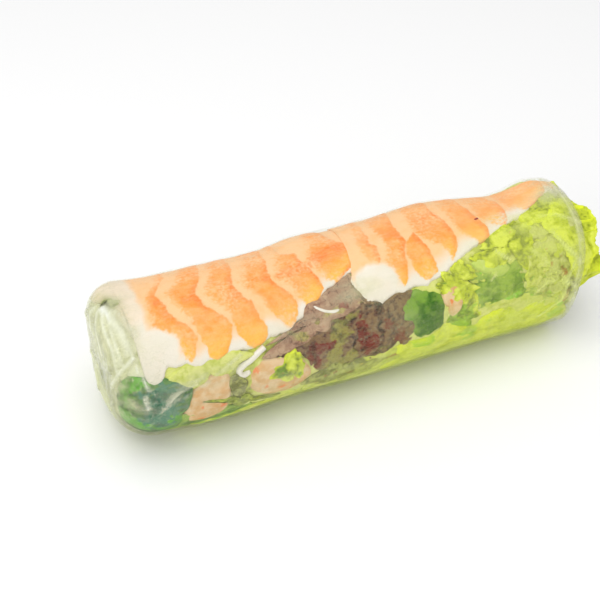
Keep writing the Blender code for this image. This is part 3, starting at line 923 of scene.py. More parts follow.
@dataclass
class LaidSheet:
    """A leaf or slice laid round the roll.

    Attributes:
        in_cad: whether it takes the place of the CAD node with its name.
        tear: how far its rim wanders in and out, in millimetres.
        tear_grain: size of the lobes of its rim.
        rim_drop: how much deeper its rim lies.
        crumple: height of its lumps.
        grain: size of its lumps.
        ruffle: height of the waves along its rim.
        blush: patches of a second colour.
        moss: patches of a third colour.
        frilled: how strongly its rim takes the frill colour.
        contrast: how far the painted light on its puffs and the painted shade in its valleys differ.
        least_depth: nearest that it comes to the skin.
    """

    name: str
    leaf: Leaf
    rim: Rim
    depth: float
    slot: str = "green_lettuce"
    in_cad: bool = False
    wall: float = 0.35
    tear: float = 1.0
    tear_grain: float = 3.0
    rim_drop: float = 0.3
    crumple: float = 0.5
    grain: float = 5.0
    ruffle: float = 0.3
    spacing: float = 0.45
    seed: int = 1
    blush: tuple[Spot, ...] = ()
    moss: tuple[Spot, ...] = ()
    frilled: float = 1.0
    light: float = 0.5
    contrast: float = 1.0
    least_depth: float = 0.45

    def build(self) -> Piece:
        """Lays the sheet and paints its tone, frill and patches."""
        tear = Tear(self.tear, self.tear_grain, level=7.0, inner=0.3)
        piece, out, length, angle = cut_out(self.name, self.rim, self.spacing, tear, self.seed)
        spots = FORM.point(length, angle, self.depth)
        puffs = puckered(spots, self.grain, self.seed)
        bent = warped(spots, 2.0 * self.grain, self.seed + 4)
        folds = cloud(bent, 2.0 * self.grain, self.seed + 6, 2)
        creases = 1.0 - smooth(0.0, 0.10, np.abs(folds))
        frill = smooth(0.72, 1.0, out)
        bent = warped(spots, self.tear_grain, self.seed + 8)
        wave = frill * cloud(bent, 0.5 * self.tear_grain, self.seed + 9, 2)
        lumps = 0.7 * folds + 1.1 * puffs - 0.45 - 0.2 * creases
        height = np.minimum(self.crumple * lumps + self.ruffle * wave, self.depth - self.least_depth)
        drop = self.rim_drop * smooth(0.85, 1.0, out)
        set_points(piece, FORM.point(length, angle, self.depth - height + drop))
        broad = cloud(spots, 2.5 * self.grain, self.seed + 21, 2)
        # Tone is painted light and shade: higher on the raised puffs, folds and rim waves, lower in the
        # creases; the rim colour is also stronger on the wave crests.
        tone = 0.14 + 0.95 * puffs + 0.20 * folds + 0.16 * broad - 0.14 * creases + 0.22 * wave
        paint(
            piece,
            tone=self.light + self.contrast * (tone - 0.5),
            blush=gathered(self.blush, length, angle),
            moss=gathered(self.moss, length, angle),
            frill=0.45 * self.frilled * (frill + wave),
        )
        thicken(piece, self.wall)
        return piece


# The prawns


@dataclass(frozen=True)
class Plate:
    """One of the prawn's coloured plates.

    Attributes:
        head_edge: its edge nearer the head, as (angle, length) points from its tip upwards.
        tail_edge: its edge nearer the tail, likewise.
        head_fade: how gently its orange starts on the back, in millimetres.
        pale: how much flesh shows through its orange.
    """

    head_edge: Run
    tail_edge: Run
    head_fade: float = 3.4
    pale: float = 0.0

    def share(self, length: Array, angle: Array) -> Array:
        """0 at the edge nearer the head and 1 at the other."""
        head, tail = along_run(self.head_edge, angle), along_run(self.tail_edge, angle)
        return np.clip((length - head) / np.maximum(tail - head, 0.15), 0.0, 1.0)

    def cover(self, length: Array, angle: Array, soft: float = 0.7) -> Array:
        """How much of the plate's colour shows at some places."""
        head, tail = along_run(self.head_edge, angle), along_run(self.tail_edge, angle)
        fade = soft + self.head_fade * smooth(46.0, 62.0, angle)
        start = smooth(-0.25, 0.85, (length - head) / fade)
        inside = start * smooth(-0.5 * soft, 0.5 * soft, tail - length)
        return inside * smooth(-1.5, 1.0, angle - self.head_edge[0][0])

    def tail_line(self, length: Array, angle: Array) -> Array:
        """How near the edge nearer the tail, from inside the plate."""
        inside = along_run(self.tail_edge, angle) - length
        return smooth(2.6, 0.2, inside) * smooth(-0.6, 0.0, inside)


@dataclass(frozen=True)
class Stroke:
    """A darker stroke along a prawn, from one (length, angle) to another."""

    start: tuple[float, float]
    end: tuple[float, float]
    width: float
    strength: float

    def mark(self, length: Array, angle: Array, wander: Array) -> Array:
        """How strongly it shows at some places."""
        share = (length - self.start[0]) / (self.end[0] - self.start[0])
        middle = self.start[1] + (self.end[1] - self.start[1]) * np.clip(share, 0.0, 1.0)
        inside = smooth(-0.05, 0.15, share) * (1.0 - smooth(0.85, 1.05, share))
        return self.strength * inside * bell((angle - middle) * GIRTH + wander, self.width)


@dataclass
class Prawn:
    """A butterflied cooked prawn, laid with its back outwards.

    Attributes:
        lower: its rim at the front, as (length, angle) points.
        upper: its rim over the top, likewise.
        pink_above: angle above which it fades.
        step: how far each plate rises towards its tail edge.
        sunk_from: length from which it slips under the other prawn.
        dent: a place that is drawn in with the paper.
        widest: its width when laid flat, for the grid.
    """

    name: str
    lower: Run
    upper: Run
    plates: tuple[Plate, ...]
    lumps: tuple[Spot, ...]
    strokes: tuple[Stroke, ...]
    pink_above: float = 100.0
    depth: float = 0.62
    step: float = 0.30
    wall: float = 1.4
    rim_drop: float = 1.5
    upper_drop: float = 2.2
    head_drop: float = 2.2
    tail_drop: float = 2.2
    rounding: float = 1.6
    sunk_from: float = 400.0
    sinking: float = 0.45
    dent: Spot | None = None
    # Olive patches: painted shade in the dimple's hollow and groove, and a faint olive tint on two lumps.
    stains: tuple[Spot, ...] = ()
    widest: float = 38.0
    spacing: float = 0.36
    seed: int = 3
    least_depth: float = 0.40

    def build(self, material: Material) -> None:
        """Lays the prawn, steps its plates, rounds its rim and paints its colours."""
        start, finish = self.lower[0][0], self.lower[-1][0]
        span = finish - start
        piece = add_grid(self.name, round(span / self.spacing), round(self.widest / self.spacing))
        u, v = points_of(piece)[:, :2].T + 0.5
        length = start + span * u
        low, high = along_run(self.lower, length), along_run(self.upper, length)
        angle = low + (high - low) * v
        width = (high - low) * GIRTH
        spots = FORM.point(length, angle, self.depth)
        wobble = cloud(spots, 6.0, self.seed)
        fine = cloud(spots, 2.4, self.seed + 5)
        ends, sides = np.minimum(u, 1.0 - u) * span, np.minimum(v, 1.0 - v) * width
        length = length + 0.7 * fine * (1.0 - smooth(0.0, 2.0, ends))
        angle = angle + 1.6 * fine * (1.0 - smooth(0.0, 2.5, sides))
        within = smooth(0.0, self.rounding, np.minimum(ends, sides))
        below = v * width
        drops = (
            (self.rim_drop, below), (self.upper_drop, (1.0 - v) * width),
            (self.head_drop, u * span), (self.tail_drop, (1.0 - u) * span),
        )
        falls = [drop * (1.0 - smooth(0.0, self.rounding, away)) ** 2 for drop, away in drops]
        orange, share, line, pale = self.plate_colour(length, angle, fine)
        rise = self.step * (share - 0.4) * orange + 0.10 * wobble
        lump = np.max([spot.near(length, angle) for spot in self.lumps], axis=0)
        depth = self.depth - (rise + 0.2 * lump) * within + np.max(falls, axis=0)
        depth = depth - 0.12 * smooth(104.0, 118.0, angle)
        depth = depth + self.sinking * smooth(0.0, 3.0, length - self.sunk_from)
        depth = np.maximum(depth, self.least_depth)
        if self.dent:
            depth = depth + self.dent.near(length, angle)
        set_points(piece, FORM.point(length, angle, depth))
        stained = gathered(self.stains, length, angle) * (1.0 + 0.25 * fine)
        paint(piece, pale=pale, stain=stained)
        self.paint_bands(piece, length, angle, below, orange, line, wobble, fine)
        thicken(piece, self.wall)
        finish_piece(piece, material, self.name)

    def plate_colour(self, length: Array, angle: Array, fine: Array) -> tuple[Array, ...]:
        """How orange each point is, how far along its plate, how near a tail edge, and how pale."""
        orange, share, line, pale = (np.zeros(len(length)) for _ in range(4))
        at_length, at_angle = length + 0.5 * fine, angle + 1.2 * fine
        for plate in self.plates:
            cover = plate.cover(at_length, at_angle)
            share = np.where(cover > orange, plate.share(length, angle), share)
            line = np.where(cover > orange, plate.tail_line(at_length, at_angle), line)
            pale = np.where(cover > orange, plate.pale, pale)
            orange = np.maximum(orange, cover)
        return orange, share, line, pale

    def paint_bands(
        self, piece: Piece, length: Array, angle: Array, below: Array,
        orange: Array, line: Array, wobble: Array, fine: Array,
    ) -> None:
        """Paints how orange, deep, white and yellow each point is.

        Args:
            piece: to be painted.
            length: of each point, and so on for the rest.
            angle: round the roll.
            below: distance from the lower rim, in millimetres.
            orange: share of the plates' colour.
            line: how near a plate's tail edge.
            wobble: broad unevenness.
            fine: small unevenness.
        """
        above = smooth(self.pink_above - 6.0, self.pink_above + 8.0, angle + 3.0 * wobble)
        white = (1.0 - smooth(2.0, 7.5, below + 1.2 * wobble)) * (1.0 - above)
        for spot in self.lumps:
            lump = smooth(0.22, 0.46, spot.near(length, angle) + 0.06 * fine)
            orange = orange * (1.0 - lump)
            white = np.maximum(white, lump * (1.0 - 0.2 * smooth(60.0, 72.0, angle)))
        back = bell(angle - 76.0, 13.0)
        deep = line * (0.28 + 0.72 * back) + 0.22 * back * (wobble + 0.6) + 0.12 * fine
        for stroke in self.strokes:
            mark = stroke.mark(length, angle, 0.25 * fine)
            deep = deep + mark
            orange = np.maximum(orange, np.clip(mark, 0.0, 1.0))
        flat = np.stack([length, angle * GIRTH, 0.0 * length], axis=-1)
        patchy = 0.85 + 0.25 * cloud(flat, 7.0, self.seed + 2, 2)
        paint(
            piece,
            orange=orange * patchy * (1.0 - 0.3 * above),
            deep=np.clip(deep, 0.0, 1.0) * np.clip(orange, 0.0, 1.0),
            white=white,
            yellow=(1.0 - smooth(2.5, 10.0, below)) * (1.0 - above),
        )


LEFT_PLATES = (
    Plate(
        ((28, 17), (32, 15.6), (45, 15), (49, 13.6), (53, 11), (60, 8.8), (75, 9.6), (90, 10.4), (98, 12),
         (108, 15.5), (130, 17)),
        ((28, 17.6), (32, 18.8), (38, 20), (45, 21), (53, 19.4), (60, 17), (67, 16.3), (75, 15.7), (90, 14.2),
         (98, 15.8), (112, 19), (130, 20)),
    ),
    Plate(
        ((25, 25), (28, 22.8), (32, 22.6), (45, 21.4), (52, 20.4), (60, 20), (67, 18.4), (75, 17.2),
         (90, 15.8), (100, 20), (118, 22.2), (130, 22.5)),
        ((25, 25.5), (28, 28), (32, 28.7), (38, 29.8), (45, 30.8), (52, 30), (60, 27.4), (67, 25.7),
         (75, 24.8), (83, 25.2), (90, 26.5), (100, 28.2), (115, 29.6), (130, 30.5)),
    ),
    Plate(
        ((25, 36), (29, 34), (32, 33.5), (45, 31.3), (52, 31), (60, 29.4), (68, 27.2), (75, 26), (80, 26.2),
         (90, 27.8), (102, 30.6), (130, 31.8)),
        ((25, 36.6), (30, 39.4), (38, 40.2), (45, 39.6), (50, 38.8), (60, 38.2), (67, 36.9), (75, 35.8),
         (80, 35.5), (90, 36.6), (100, 38), (130, 39)),
    ),
    Plate(
        ((34, 46), (40, 45), (45, 43.4), (50, 42), (60, 40.8), (67, 38.6), (75, 37.2), (86, 38), (96, 40.4),
         (112, 41.2), (130, 41)),
        ((34, 47.6), (37.5, 49.4), (45, 50.6), (50, 50.8), (60, 49.8), (68, 47.8), (75, 46.6), (83, 46.6),
         (90, 47.4), (100, 48.4), (130, 49)),
    ),
    Plate(
        ((44, 53.5), (50, 52), (60, 50.2), (70, 49), (85, 48.2), (96, 49.6), (105, 50), (130, 50)),
        ((44, 54), (48, 57), (55, 59.6), (65, 59.4), (80, 57.4), (97, 56.8), (104, 53), (130, 53.5)),
    ),
    Plate(
        ((56, 63), (62, 60.5), (70, 59.6), (85, 58.5), (100, 60.5), (108, 61), (130, 62)),
        ((56, 64), (62, 67), (68, 70.5), (80, 72.5), (90, 73), (100, 70.5), (114, 69), (130, 66)),
    ),
)

PRAWN_LEFT = Prawn(
    "prawn_left",
    lower=((-4, 112), (-2, 102), (0.6, 84), (2, 68), (3.6, 58), (4.2, 50), (4.2, 38), (4.2, 27), (4.8, 20),
           (6.4, 17.5), (8.4, 18.5), (9.6, 22.5), (10.2, 27), (11.2, 29), (13.2, 25.5), (16.2, 27.5),
           (18, 23.5), (20, 21.5), (22.5, 24.5), (25, 23), (29, 26), (31.5, 26), (36, 24.5), (39, 26.5),
           (41, 30), (43, 29), (46, 29), (48.5, 33), (52, 37.5), (56, 44), (60, 51), (65, 56), (76, 68)),
    upper=((-4, 124), (-1, 132), (6, 136), (22, 137), (40, 138), (56, 138), (76, 137)), plates=LEFT_PLATES,
    lumps=patches((8.5, 42, 5, 11.5), (6.8, 24, 2.6, 5), (2, 96, 5, 60)),
    strokes=(Stroke((47, 76), (61, 80), 1.5, 0.9), Stroke((58, 84), (72, 92), 1.9, 0.9),
             Stroke((60, 87.5), (70, 93), 0.35, 0.8), Stroke((20, 78), (26, 74), 1.4, 0.6),
             Stroke((36, 82), (46, 78), 1.2, 0.4), Stroke((12.6, 82), (14.6, 60), 2.4, 0.45),
             Stroke((31, 82), (35, 62), 2.4, 0.35)),
    tail_drop=0.6, sunk_from=67, dent=Spot(0.4, 94, 2, 4.5, 1.5),
    # The first three olive patches are painted shade in the dimple and its groove; the last two are a faint
    # olive tint on lumps.
    stains=patches((0.2, 93, 1.8, 6.5, 1.3), (2.2, 92, 1.7, 5, 0.6), (-1, 84, 1.4, 6, 0.6),
                   (6.6, 23, 3, 7, 0.15), (8.5, 40, 5, 14, 0.06)),
    seed=3,
)

RIGHT_PLATES = (
    Plate(
        ((60, 77.5), (66, 75.4), (75, 73.4), (84, 74.2), (92, 74.6), (110, 76), (130, 77)),
        ((60, 77.7), (66, 79), (75, 79.6), (84, 78.8), (92, 79.4), (110, 80), (130, 81)), head_fade=2,
        pale=0.25,
    ),
    Plate(
        ((41, 82.4), (45, 81.7), (52, 80.2), (60, 78.8), (68, 80), (75, 81.6), (84, 82), (92, 82),
         (108, 81.5), (130, 83)),
        ((41, 82.8), (45, 84.2), (52, 85.4), (60, 86), (68, 87), (75, 88.8), (84, 88.8), (92, 88.8),
         (97, 88.8), (110, 90), (130, 92)),
        head_fade=2.6,
    ),
    Plate(
        ((41, 90), (45, 88.2), (52, 87.2), (60, 86.5), (68, 87), (75, 88.2), (84, 92.4), (92, 92.6),
         (130, 93.8)),
        ((41, 90.6), (45, 94.2), (52, 94.6), (60, 94.2), (68, 94), (75, 93.4), (84, 92.8), (92, 92.8),
         (130, 94.2)),
        head_fade=0.6,
    ),
    Plate(
        ((50, 99.5), (60, 98), (68, 95.8), (75, 93.4), (84, 92), (92, 92.4), (112, 93.6), (130, 95)),
        ((50, 99.9), (60, 103), (68, 103.8), (75, 103.7), (84, 103.5), (92, 102.9), (98, 102.4), (112, 103),
         (130, 104)),
        head_fade=2.6, pale=0.08,
    ),
    Plate(
        ((56, 109.6), (60, 108.6), (68, 106.2), (75, 104.8), (84, 104.8), (92, 104.6), (112, 105),
         (130, 106)),
        ((56, 110.6), (60, 114), (68, 114.6), (75, 114.4), (84, 113.8), (92, 113.4), (112, 113), (130, 114)),
        head_fade=2.6, pale=0.22,
    ),
    Plate(
        ((66, 119.5), (70, 117.8), (75, 116.2), (84, 113.8), (92, 114.4), (112, 114.6), (130, 115)),
        ((66, 120), (70, 122), (75, 123), (84, 124.2), (92, 125), (110, 124), (130, 123.5)), head_fade=2.6,
        pale=0.28,
    ),
    Plate(
        ((80, 128.4), (84, 127.2), (92, 125.8), (100, 125.2), (130, 125)),
        ((80, 131), (84, 135), (88, 138), (92, 139.8), (98, 141), (112, 142)), head_fade=2.6, pale=0.38,
    ),
)

PRAWN_RIGHT = Prawn(
    "prawn_right",
    lower=((68.2, 53), (69, 44), (69.8, 37), (71.4, 33.5), (73.2, 34.5), (75, 32), (78, 34.5), (80, 36.5),
           (82, 34.5), (86, 37.5), (90, 35), (92, 38), (95.4, 39.5), (98.5, 44), (102, 48), (105, 52),
           (107.6, 54), (111, 56.5), (114.4, 59.5), (119, 64.5), (123, 68.5), (126.5, 72), (130.2, 76),
           (133.5, 81), (136.6, 85), (140, 88), (144, 91), (147, 96)),
    upper=((68.2, 55), (69.2, 62), (70.4, 72), (71.6, 88), (72.4, 110), (73.2, 134), (82, 138), (94, 138),
           (106, 136), (119, 133), (128, 128), (136, 121), (147, 108)),
    plates=RIGHT_PLATES, lumps=patches((75, 49, 4.7, 10)),
    strokes=(Stroke((92, 92), (103, 95), 2.4, 0.5), Stroke((82, 90), (88, 88), 2.4, 0.5),
             Stroke((126, 90), (137, 93), 2, 0.15), Stroke((125, 107), (138, 117), 0.5, 0.8),
             Stroke((142.9, 96), (144, 96.5), 1, 0.6)),
    head_drop=0.1, upper_drop=0.1, seed=8,
)


# The rest of the filling


@dataclass
class Noodle:
    """A short length of round noodle just under the paper.

    Attributes:
        route: its middle line, as (length, angle, extra depth) points.
        in_cad: whether it takes the place of the CAD node with its name.
    """

    name: str
    flesh: Flesh
    route: tuple[Triple, ...]
    radius: float = 0.95
    slot: str = "rice_noodle"
    in_cad: bool = True
    tone: float = 0.3
    cover: float = 0.75

    def build(self, material: Material) -> None:
        """Draws the noodle as a smooth round tube."""
        deselect()
        bpy.ops.curve.primitive_bezier_curve_add()
        piece = named(self.name)
        curve = piece.data
        curve.splines.clear()
        line = curve.splines.new("BEZIER")
        line.bezier_points.add(len(self.route) - 1)
        for point, (length, angle, extra) in zip(line.bezier_points, self.route):
            spot = FORM.point(length, angle, self.cover + self.radius + extra)
            point.co = Vector(spot.tolist()) * MM
            point.handle_left_type = point.handle_right_type = "AUTO"
        curve.dimensions = "3D"
        curve.bevel_depth = self.radius * MM
        curve.bevel_resolution = 4
        curve.resolution_u = 8
        curve.use_fill_caps = True
        deselect()
        piece.select_set(True)
        bpy.context.view_layer.objects.active = piece
        bpy.ops.object.convert(target="MESH")
        piece = bpy.context.active_object
        apply_modifier(piece, "WELD", merge_threshold=0.02 * MM)
        paint(piece, tone=self.tone, dots=0.0)
        finish_piece(piece, material, self.name if self.in_cad else None)


@dataclass
class Lump:
    """A solid morsel under the paper, such as a piece of crab stick or cucumber.

    Attributes:
        height: how far its rim falls away.
        dark: patches of its second colour.
        dots: dots of its third colour.
        base_tone: how far it is its second colour all over.
    """

    name: str
    flesh: Flesh
    rim: Rim
    depth: float
    height: float
    slot: str
    grain: float = 5.0
    lumpiness: float = 0.3
    spacing: float = 0.4
    seed: int = 11
    dark: tuple[Spot, ...] = ()
    dots: tuple[Spot, ...] = ()
    base_tone: float = 0.2
    # How far the falling rim takes the second colour, as painted shade; a negative value, as on the cucumber
    # wedge, lightens the rim instead.
    rim_shade: float = 0.4
    tear: float = 0.4
    wall: float = 1.0
    least_depth: float = 0.5

    def build(self, material: Material) -> None:
        """Lays a pillow of the morsel's outline with its rim rounded down."""
        tear = Tear(self.tear, 3.0, level=3.0, inner=0.0)
        piece, out, length, angle = cut_out(self.name, self.rim, self.spacing, tear, self.seed)
        lumps = cloud(FORM.point(length, angle, self.depth), self.grain, self.seed)
        fall = 1.0 - np.sqrt(np.clip(1.0 - smooth(0.6, 1.0, out) ** 2, 0.0, 1.0))
        depth = self.depth + self.height * fall - self.lumpiness * lumps * (1.0 - out)
        set_points(piece, FORM.point(length, angle, np.maximum(depth, self.least_depth)))
        # The falling rim is painted towards the second colour as painted shade.
        tone = self.base_tone + gathered(self.dark, length, angle) + self.rim_shade * fall
        paint(piece, tone=tone + 0.1 * lumps, dots=gathered(self.dots, length, angle))
        thicken(piece, self.wall)
        finish_piece(piece, material, self.name)


@dataclass
class FrilledLeaf:
    """A leaf that stands out of the open end with a ruffled edge.

    Attributes:
        angles: where it starts and ends round the roll.
        root: length where it starts.
        tip: how far it reaches, as (angle, length) points.
        waves: how many ruffles fit in a full turn.
        meander: how far it wanders in and out all along.
        covered_depth: nearest that it comes to the skin inside the paper.
        bare_depth: the same past the paper's end, outside the skin.
    """

    name: str
    leaf: Leaf
    angles: tuple[float, float]
    depth: float
    root: float
    tip: Run
    ruffle: float = 1.0
    waves: float = 26.0
    meander: float = 0.0
    wall: float = 0.3
    spacing: float = 0.4
    seed: int = 60
    roll_radius: float = 21.0
    covered_depth: float = 0.6
    bare_depth: float = -0.6

    def build(self) -> Piece:
        """Lays the leaf and ruffles its outer part."""
        radius = max(3.0, self.roll_radius - self.depth)
        arc = math.radians(self.angles[1] - self.angles[0]) * radius
        reach = max(point[1] for point in self.tip) - self.root
        piece = add_grid(self.name, round(reach / self.spacing), round(arc / self.spacing))
        u, v = points_of(piece)[:, :2].T + 0.5
        angle = self.angles[0] + (self.angles[1] - self.angles[0]) * v
        ring = ringed(np.radians(angle), radius, 5.0 + self.depth)
        tip = along_run(self.tip, angle) + 1.3 * cloud(ring, 2.6, self.seed)
        length = self.root + (tip - self.root) * u
        loose = smooth(0.35, 1.0, u) * smooth(0.0, 0.08, v) * smooth(0.0, 0.08, 1.0 - v)
        wander = cloud(ringed(np.radians(angle), radius, 0.0), 5.0, self.seed + 4, 2)
        phase = np.radians(angle) * self.waves + 2.5 * wander + 1.5 * u
        drift = ring + np.outer(3.0 * u, [0.0, 0.0, 1.0])
        wave = 0.7 * np.sin(phase) + 1.1 * cloud(drift, 3.2, self.seed + 14, 2)
        spots = FORM.point(length, angle, self.depth)
        folds = cloud(spots, 4.0, self.seed + 8, 2)
        veins = np.abs(cloud(spots * np.array([0.4, 1.0, 1.0]), 2.6, self.seed + 5, 2))
        veins = 1.0 - smooth(0.0, 0.16, veins)
        out = self.ruffle * loose * wave + 0.5 * folds + self.meander * wander * smooth(0.0, 0.5, u)
        covered = 1.0 - smooth(FORM.opening - 1.0, FORM.opening + 1.5, length)
        least = self.covered_depth * covered + self.bare_depth * (1.0 - covered)
        angle = angle + 1.5 * loose * np.cos(phase) / np.maximum(radius / 20.0, 0.4)
        set_points(piece, FORM.point(length, angle, np.maximum(self.depth - out, least)))
        # Tone is painted light on the crests of the ruffles and folds and painted shade in their troughs,
        # with lighter veins; the bright frill colour is also stronger on the crests.
        paint(
            piece,
            tone=0.5 + 0.25 * wave * loose + 0.15 * folds + 0.2 * veins,
            frill=0.8 * smooth(0.55, 1.0, u) * (0.7 + 0.4 * wave),
            blush=0.0,
            moss=0.0,
        )
        thicken(piece, self.wall)
        return piece


FRILLS: tuple[FrilledLeaf, ...] = (
    FrilledLeaf(
        "frill_outer", Leaf.LIME, (-4, 84), 1.6, 132,
        ((-4, 141), (1, 147), (5, 152.5), (12, 153), (22, 149), (32, 147.5), (45, 149.5), (58, 149),
         (70, 148), (84, 146)),
    ),
    FrilledLeaf(
        "frill_top", Leaf.LIME, (70, 190), 2.2, 132,
        ((70, 147), (100, 148), (130, 149), (160, 147), (190, 146)), seed=61,
    ),
    FrilledLeaf(
        "frill_low", Leaf.LIME, (185, 352), 2.4, 132,
        ((185, 147), (230, 148), (270, 146), (300, 141), (325, 138.5), (352, 138.5)), seed=62,
    ),
    FrilledLeaf(
        "frill_second", Leaf.LIME, (20, 300), 5, 134,
        ((20, 147), (90, 147), (160, 149), (230, 147), (270, 144), (300, 141)), 1.2, 15, 1.6, seed=63,
    ),
    FrilledLeaf(
        "frill_third", Leaf.PALE, (-130, 150), 8, 135,
        ((-130, 146), (-80, 142), (-20, 142), (20, 147), (90, 149), (150, 147)), 1.2, 10, 2.6, seed=64,
    ),
    FrilledLeaf(
        "frill_fourth", Leaf.HAZY, (40, 330), 11, 136, ((40, 148), (120, 146), (200, 148), (330, 145)), 1.2,
        8, 3, seed=65,
    ),
    FrilledLeaf(
        "frill_fifth", Leaf.LIME, (-160, 120), 13.5, 137, ((-160, 147), (-40, 145), (120, 148)), 1, 7, 2.6,
        seed=67,
    ),
    FrilledLeaf(
        "frill_sixth", Leaf.PALE, (-60, 200), 16, 138, ((-60, 146), (60, 148), (200, 145)), 0.9, 5, 2,
        seed=68,
    ),
    FrilledLeaf(
        "frill_inner", Leaf.LIME, (0, 300), 18.4, 138, ((0, 147), (90, 148), (180, 146), (300, 148)), 0.7, 4,
        1.2, seed=66,
    ),
)

